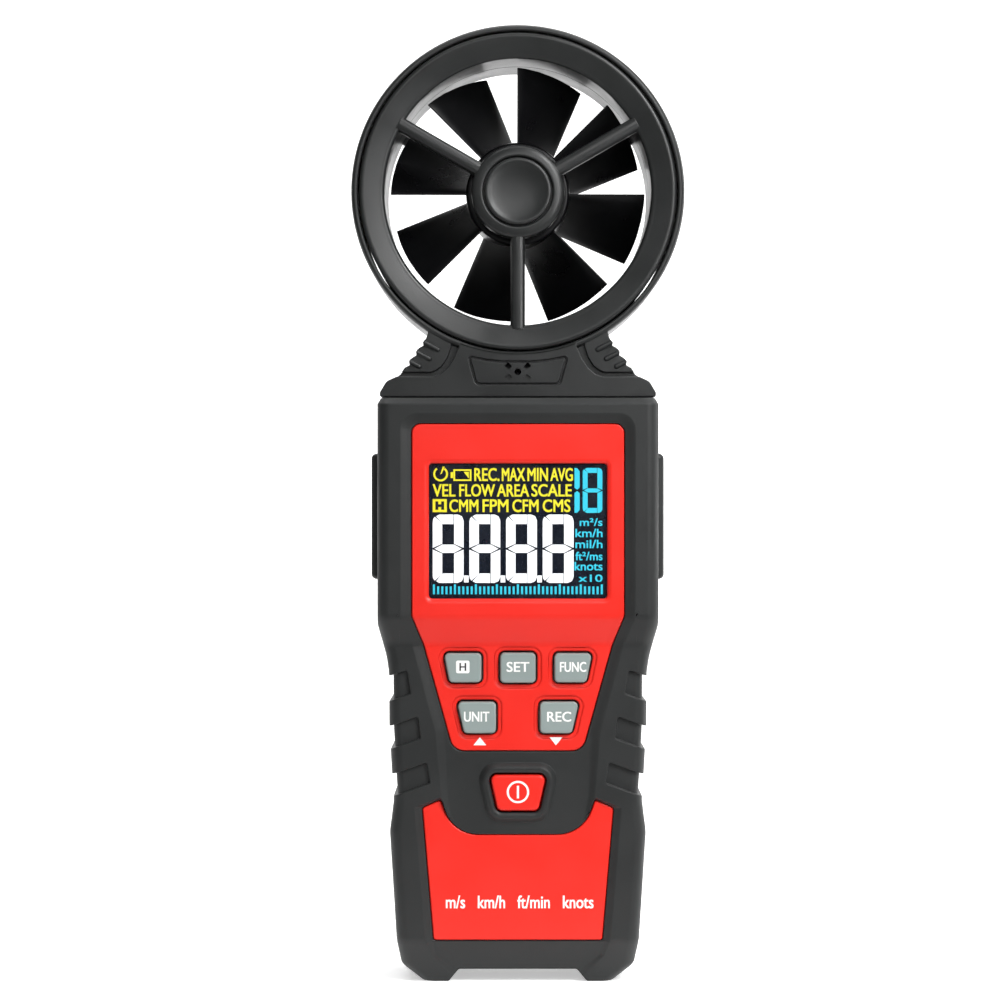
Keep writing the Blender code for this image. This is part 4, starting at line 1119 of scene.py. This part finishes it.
def strut(side, angle):
    """One rounded spoke of the guard."""
    low, high = 9.0 * MM, 30.8 * MM
    half = 1.6 * MM
    outline = [(-half, 9.6), (-half, 11.5), (-0.75 * half, 12.3), (-0.3 * half, 12.6),
               (0.3 * half, 12.6), (0.75 * half, 12.3), (half, 11.5), (half, 9.6)]
    turn = Matrix.Rotation(-radians(angle), 4, "Y")
    rings = []
    for share in (0.0, 0.25, 0.5, 0.75, 1.0):
        reach = low + (high - low) * share
        ring = [turn @ Vector((reach, side * y * MM, across)) for across, y in outline]
        rings.append([point + Vector(HUB) for point in ring])
    return loft(f"strut_{angle}_{side}", rings)


def make_guard(side, label):
    """The bell-mouthed duct ring, its three spokes and the bearing hub."""
    profile = [(35.6, 10.4), (35.6, 12.7), (35.5, 13.05), (35.25, 13.35), (34.85, 13.5)]
    profile += [(34.4, 13.45), (31.1, 12.35)] + arc(31.0, 11.3, 1.1, 1.0, 100, 180, 8)
    profile += [(29.9, 9.6), (29.9, 0.15), (31.2, 0.15), (31.2, 9.6)]
    guard = turned(f"duct_guard_{label}", on_side(side, profile))
    hub = [(10.45, 8.9), (10.45, 11.8), (10.38, 12.2), (10.15, 12.55), (9.7, 12.85), (9.1, 13.08),
           (8.4, 13.2), (8.05, 13.15), (7.8, 12.9), (7.8, 12.0), (2.3, 12.0), (2.3, 8.9)]
    spokes = [strut(side, angle) for angle in (30, 150, 270)]
    fuse(guard, turned(f"{label}_hub", on_side(side, hub), 128), *spokes)
    soften(guard, 0.12 * MM, 2, 26.0)
    place(guard, HOUSING, "black_plastic", SATIN, f"vane_guard_{label}")
    cap = [(0.0, 12.1), (7.35, 12.1), (7.5, 12.4), (7.5, 13.3), (7.42, 13.58), (7.2, 13.76),
           (6.9, 13.8), (6.6, 13.72), (6.2, 13.5), (5.6, 13.33), (4.6, 13.12), (3.5, 12.97),
           (2.3, 12.88), (1.2, 12.84), (0.0, 12.83)]
    dish = shade(turned(f"cap_{label}", on_side(side, cap), 128))
    place(dish, HOUSING, "black_plastic", SATIN, f"hub_cap_{label}")


def trailing_point(radius, angle):
    """A point in the rotor's plane, its angle in degrees back from the leading edge."""
    return Vector((radius * cos(radians(angle)), radius * sin(radians(angle))))


def blade(start):
    """One twisted blade with rounded edges, its front edge radial."""
    radial_steps, chord_steps = 12, 20
    half_depth, half_thick = 6.3, 0.42
    root, tip = trailing_point(10.6, 43.5), trailing_point(28.7, 30.6)
    rings = []
    for radial in range(radial_steps + 1):
        share = radial / radial_steps
        edge = root.lerp(tip, share)
        radius = edge.length * MM
        sweep = Vector((1.0, 0.0)).angle(edge)
        middle = []
        for chord in range(chord_steps + 1):
            t = chord / chord_steps
            angle = start - sweep * t
            depth = half_depth * MM * (2 * t - 1)
            middle.append(Vector((radius * cos(angle), depth, radius * sin(angle))))
        front, back = [], []
        for index, point in enumerate(middle):
            ahead = middle[min(index + 1, chord_steps)] - middle[max(index - 1, 0)]
            outward = Vector((point.x, 0.0, point.z)).normalized()
            normal = ahead.cross(outward).normalized()
            t = index / chord_steps
            end = min(t, 1 - t) * chord_steps
            thick = half_thick * MM * min(1.0, 0.45 + 0.4 * end)
            front.append(point + normal * thick)
            back.append(point - normal * thick)
        rings.append([p + Vector(HUB) for p in front + back[::-1]])
    return loft(f"blade_{start:.2f}", rings)


def make_rotor():
    """The glossy rotor with eight swept blades and its hub."""
    hub = [(10.7, -7.6), (11.2, -7.5), (11.55, -7.15), (11.7, -6.7), (11.7, 6.7), (11.55, 7.15),
           (11.2, 7.5), (10.7, 7.6), (5.3, 7.6), (5.3, 5.2), (2.2, 5.2), (2.2, 7.6),
           (1.1, 7.6), (1.1, -7.6)]
    rotor = turned("glossy_rotor", hub, 128)
    for index in range(BLADE_COUNT):
        fuse(rotor, blade(2 * pi * index / BLADE_COUNT))
    soften(rotor, 0.10 * MM, 2, 30.0)
    place(rotor, "vane_rotor", "vane_plastic", VANE, "rotor")


# ---------------------------------------------------------------- display
def segment_outlines(x, z, wide, tall, bar, corner, hair=0.14):
    """The seven segments of one digit eight, from its lower left corner, in millimetres.

    A hairline gap parts the segments, and the two sides meet the middle bar in points.
    """
    right, top, middle = x + wide, z + tall, z + tall / 2
    half = bar / 2
    shapes = []
    for up, edge in ((1, top), (-1, z)):
        inner = edge - up * bar
        shapes.append([(x + corner * 0.9 + hair * 2, edge), (right - bar - hair, edge),
                       (right - bar - hair, inner), (x + bar + hair, inner),
                       (x + corner * 0.35 + hair * 2, edge - up * corner * 0.3)])
        near = middle + up * hair * 1.4
        shapes.append([(x, near), (x + bar, near + up * (half - hair)),
                       (x + bar, inner + up * hair),
                       (x + corner * 0.35, edge - up * corner * 0.38),
                       (x + corner * 0.08, edge - up * corner * 0.75),
                       (x, edge - up * corner * 1.2)])
        shapes.append([(right, near), (right - bar, near + up * (half - hair)),
                       (right - bar, edge), (right - corner, edge),
                       (right - corner * 0.3, edge - up * corner * 0.3),
                       (right, edge - up * corner)])
    shapes.append([(x + hair * 3, middle), (x + bar, middle - half + hair),
                   (right - bar, middle - half + hair), (right - hair * 3, middle),
                   (right - bar, middle + half - hair), (x + bar, middle + half - hair)])
    return shapes


def display_face():
    """The depth of the lit symbols, just behind the window."""
    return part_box("display_lens")[1].y + 0.10 * MM


def lcd_text(name, text, x, z, height, width, finish, bold=0.07):
    """A word on the display, from its left edge and its base line, in millimetres."""
    centre = ((x + width / 2) * MM, (z + height / 2) * MM)
    word = lettering(name, text, height, width, centre, display_face(), 0.03, bold)
    return place(word, HOUSING, "lcd_glass", finish)


def lcd_plates(name, outlines, finish):
    """Lit shapes on the display from outlines in millimetres."""
    metres = [[(x * MM, z * MM) for x, z in outline] for outline in outlines]
    return place(plates(name, metres, display_face(), 0.03), HOUSING, "lcd_glass", finish)


def rectangle(x0, z0, x1, z1):
    """A rectangle's corners."""
    return [(x0, z0), (x1, z0), (x1, z1), (x0, z1)]


def make_display_glass():
    """The dark display panel and the clear window over it."""
    low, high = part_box("lcd_panel")
    panel = box("display_panel", (low.x, low.y + 0.6 * MM, low.z), high)
    soften(panel, 0.15 * MM, 2, 30.0)
    place(panel, HOUSING, "lcd_glass", LCD_DARK, "lcd_panel")
    half, bottom, top = WINDOW
    corners = [(half - 0.05, top - 0.05, 0.75), (half - 0.05, bottom + 0.05, 0.75)]
    front = prism("display_front_glass", outline_of(corners), display_face() + 0.03 * MM,
                  low.y + 0.7 * MM)
    place(front, HOUSING, "lcd_glass", LCD_DARK)
    low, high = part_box("display_lens")
    pane = prism("window_lens", outline_of(corners), low.y + 0.55 * MM, high.y)
    clear = principled("clear_acrylic", (0.01, 0.014, 0.03), 0.05, Alpha=0.10, IOR=1.49)
    smudge = noise(clear, 120.0, 3.0)
    feed(clear, remap(clear, smudge.outputs["Fac"], 0.03, 0.10), "Roughness")
    place(pane, HOUSING, "lens_acrylic", clear, "display_lens")


def make_display_content():
    """The lit symbols: four digits, the word rows, the unit list and the bar scale."""
    digits = []
    for index in range(4):
        x = DIGIT_LEFT + DIGIT_PITCH * index
        digits += segment_outlines(x, DIGIT_BASE, 6.88, 15.23, 2.12, 1.3)
        if index < 3:
            digits.append(rectangle(x + 6.95, DIGIT_BASE + 0.1, x + 8.0, DIGIT_BASE + 1.65))
    lcd_plates("lcd_digits", digits, LCD_WHITE)
    for z, height, words in WORD_ROWS:
        for word, left, right in words:
            label = "".join(letter for letter in word.lower() if letter.isalnum())
            lcd_text(f"lcd_word_{label}", word, left, z, height, right - left, LCD_YELLOW)
    icons = [arc_band((-17.23, 114.0), 1.22, 1.66, 125, 415, 24),
             [(-17.3, 113.9), (-16.95, 114.1), (-16.3, 115.6), (-16.75, 115.7)],
             rectangle(-15.0, 113.1, -14.45, 114.4), rectangle(-14.4, 112.45, -14.0, 115.05),
             rectangle(-10.75, 112.45, -10.35, 115.05), rectangle(-14.0, 112.45, -10.75, 112.8),
             rectangle(-14.0, 114.7, -10.75, 115.05),
             [(-12.1, 114.5), (-10.95, 114.5), (-10.95, 113.0)],
             rectangle(-19.0, 105.5, -18.4, 108.4), rectangle(-16.45, 105.5, -15.85, 108.4),
             rectangle(-18.4, 107.9, -16.45, 108.4), rectangle(-18.4, 105.5, -16.45, 106.0),
             rectangle(-17.75, 107.25, -17.1, 107.9), rectangle(-17.75, 106.0, -17.1, 106.65)]
    lcd_plates("lcd_icons", icons, LCD_YELLOW)
    large = segment_outlines(14.43, 105.33, 4.37, 10.02, 1.1, 0.8, 0.09)
    large += [[(12.6, 110.9), (13.2, 110.5), (13.75, 111.0), (13.75, 114.6), (13.2, 115.3),
               (12.6, 115.35)],
              [(12.6, 109.8), (13.2, 110.2), (13.75, 109.7), (13.75, 106.0), (13.2, 105.35),
               (12.6, 105.33)]]
    lcd_plates("lcd_large_number", large, LCD_CYAN)
    for word, left, z, height in UNIT_WORDS:
        label = "".join(letter for letter in word if letter in "abcdefghijklmnopqrstuvwxyz")
        lcd_text(f"lcd_unit_{label}", word, left, z, height, UNIT_RIGHT - left, LCD_CYAN, 0.045)
    ticks = []
    for index in range(41):
        x = -18.95 + 37.4 * index / 40
        ticks.append(rectangle(x, 87.2, x + 0.46, 89.4 if index % 5 == 0 else 88.95))
    lcd_plates("lcd_scale", ticks, LCD_CYAN)


# ---------------------------------------------------------------- back of the body
def axis_through(node):
    """The middle of a CAD node in the front plane, as the centre of a turned piece."""
    low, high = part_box(node)
    return ((low.x + high.x) / 2, 0.0, (low.z + high.z) / 2)


def screw(name, node, head_radius, head_height):
    """A cross-recessed screw head with its shank, in the place of a CAD screw."""
    low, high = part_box(node)
    centre = axis_through(node)
    top = high.y / MM
    shank = 0.5 * head_radius
    profile = [(0.0, top), (0.55 * head_radius, top - 0.03), (0.8 * head_radius, top - 0.12),
               (0.95 * head_radius, top - 0.35 * head_height),
               (head_radius, top - 0.6 * head_height), (head_radius, top - head_height),
               (shank, top - head_height), (shank, low.y / MM + 0.6), (0.0, low.y / MM)]
    made = turned(name, profile, 64, centre)
    arm, half = 0.55 * head_radius * MM, 0.15 * head_radius * MM
    deep = 0.5 * head_height * MM
    for wide, tall in ((arm, half), (half, arm)):
        shape = [Vector((centre[0] + x, centre[2] + z)) for x, z in
                 ((-wide, -tall), (wide, -tall), (wide, tall), (-wide, tall))]
        cross = stack("cross", [([centre_of(shape).lerp(p, 0.72) for p in shape], high.y - deep),
                                (shape, high.y), (shape, high.y + MM)])
        cut(made, cross)
    soften(made, 0.06 * MM, 2, 30.0)
    place(made, body_of_screw(node), "steel", STEEL, node)


def centre_of(points):
    """The middle of some points."""
    return sum(points, Vector((0.0, 0.0))) / len(points)


def body_of_screw(node):
    """The CAD body that a screw belongs to."""
    return "battery_cover" if node == "battery_door_screw" else HOUSING


def make_screws():
    """Every screw that shows from behind."""
    for index in range(1, 5):
        screw(f"steel_case_screw_{index}", f"case_screw_{index}", 2.5, 1.6)
    for label in ("left", "right"):
        screw(f"steel_head_screw_{label}", f"head_screw_{label}", 1.9, 1.2)
    screw("steel_door_screw", "battery_door_screw", 2.3, 0.7)


def back_grooves(half_width, lowest, pitch, count):
    """Level grooves in the back, one above the other, sized in millimetres."""
    tools = []
    for row in range(count):
        z = lowest + pitch * row
        outline = outline_of([(half_width, z + 0.6, 0.55), (half_width, z - 0.6, 0.55)])
        tools.append(prism("groove", outline, BACK_GROOVE_FLOOR, FAR))
    return tools


def bay_space():
    """The space for the three cells, open at the back."""
    return box("bay_space", (-BAY_HALF_WIDTH, BAY_FLOOR, BAY_LOW),
               (BAY_HALF_WIDTH, 25 * MM, BAY_HIGH))


def make_rear_jacket():
    """The soft rear jacket, open over the back panel."""
    jacket = jacket_wall("soft_rear_jacket", BACK)
    cut(jacket, prism("rear_opening", outline_of(BACK_PANEL, 0.2 * MM), 8 * MM, FAR))
    cut(jacket, *notch_tools(BACK))
    cut(jacket, *rail_pockets())
    cut(jacket, foot_notch())
    soften(jacket, 0.35 * MM, 3, 14.0)
    place(jacket, HOUSING, "soft_rubber", RUBBER, "rear_jacket")


def make_rear_case():
    """The black back panel with screw wells, the door recess and the grip lines."""
    panel = prism("satin_back_panel", outline_of(BACK_PANEL), 12.0 * MM, 17.8 * MM)
    for index in range(1, 5):
        cut(panel, turned("well", [(0.0, 14.0), (3.1, 14.0), (3.1, 30), (0.0, 30)], 64,
                          axis_through(f"case_screw_{index}")))
    recess = [(19.3, 80.8, 2.8), (19.3, 18.6, 2.8)]
    cut(panel, prism("door_recess", outline_of(recess), 15.8 * MM, FAR))
    cut(panel, *back_grooves(13.0, 88.0, 3.2, 5), bay_space())
    soften(panel, 0.3 * MM, 3, 30.0)
    place(panel, HOUSING, "black_plastic", SATIN, "rear_case")
    inner = inner_case("black_inner_case", BACK)
    cut(inner, prism("panel_seat", outline_of(BACK_PANEL, 0.02 * MM), 11.9 * MM, FAR))
    cut(inner, *rail_pockets())
    wall = 1.2 * MM
    bay = box("battery_tray", (-BAY_HALF_WIDTH - wall, BAY_FLOOR - wall, BAY_LOW - wall),
              (BAY_HALF_WIDTH + wall, 12.2 * MM, BAY_HIGH + wall))
    cut(bay, bay_space())
    for piece in (inner, bay):
        place(soften(piece, 0.15 * MM, 2, 25.0), HOUSING, "black_plastic", SATIN, "rear_case")


def make_battery_door():
    """The battery door with push ribs and an arrow."""
    low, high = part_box("battery_door")
    corners = [(19.0, 80.5, 2.5), (19.0, 18.9, 2.5)]
    door = prism("satin_battery_door", outline_of(corners), 16.1 * MM, high.y)
    fuse(door, box("door_hook", (-6 * MM, low.y, 22.0 * MM), (6 * MM, 16.8 * MM, 23.2 * MM)))
    cut(door, *back_grooves(8.0, 27.6, 2.4, 4))
    arrow = rounded([(-2.6, 39.6, 0.3), (2.6, 39.6, 0.3), (0.0, 36.9, 0.3)])
    cut(door, prism("door_arrow", arrow, 17.45 * MM, FAR))
    spot = (0.0, 0.0, 75.5 * MM)
    cut(door, turned("door_screw_seat", [(0.0, 16.8), (2.7, 16.8), (2.7, 30), (0.0, 30)], 64,
                     spot))
    cut(door, turned("door_screw_bore", [(0.0, 10), (1.5, 10), (1.5, 20), (0.0, 20)], 48, spot))
    soften(door, 0.28 * MM, 3, 30.0)
    place(door, "battery_cover", "black_plastic", SATIN, "battery_door")


# ---------------------------------------------------------------- carried-over CAD nodes
def finish_cad_nodes():
    """Give every CAD node that still shows a procedural finish by its material slot."""
    finishes = {
        "red_plastic": RED, "soft_rubber": RUBBER, "black_plastic": SATIN, "vane_plastic": VANE,
        "key_rubber": KEY, "lens_acrylic": LCD_DARK, "lcd_glass": LCD_DARK,
        "white_plastic": WHITE_PLASTIC, "circuit_board": BOARD, "component_black": EPOXY,
        "sensor_bead": EPOXY, "lead_sleeve": RUBBER, "steel": STEEL, "magnet_nickel": NICKEL,
        "cell_sleeve": SLEEVE,
    }
    slots = node_slots()
    for name, node in frame["nodes"].items():
        if node.hide_render:
            continue
        finish = finishes[slots.get(name, "black_plastic")]
        node.data.materials.clear()
        node.data.materials.append(finish)


def node_slots():
    """The record's material slot of each node."""
    return {part["node"]: part["material_slot"] for part in frame["record"]["subparts"]}


# ---------------------------------------------------------------- build
make_camera()
make_lights()
make_stage()
make_front_jacket()
make_red_panels()
make_rails()
make_keys()
make_display_glass()
make_display_content()
for head_side, head_label in ((FRONT, "front"), (BACK, "rear")):
    make_head_shell(head_side, head_label)
    make_guard(head_side, head_label)
make_rotor()
make_rear_jacket()
make_rear_case()
make_battery_door()
make_screws()
finish_cad_nodes()
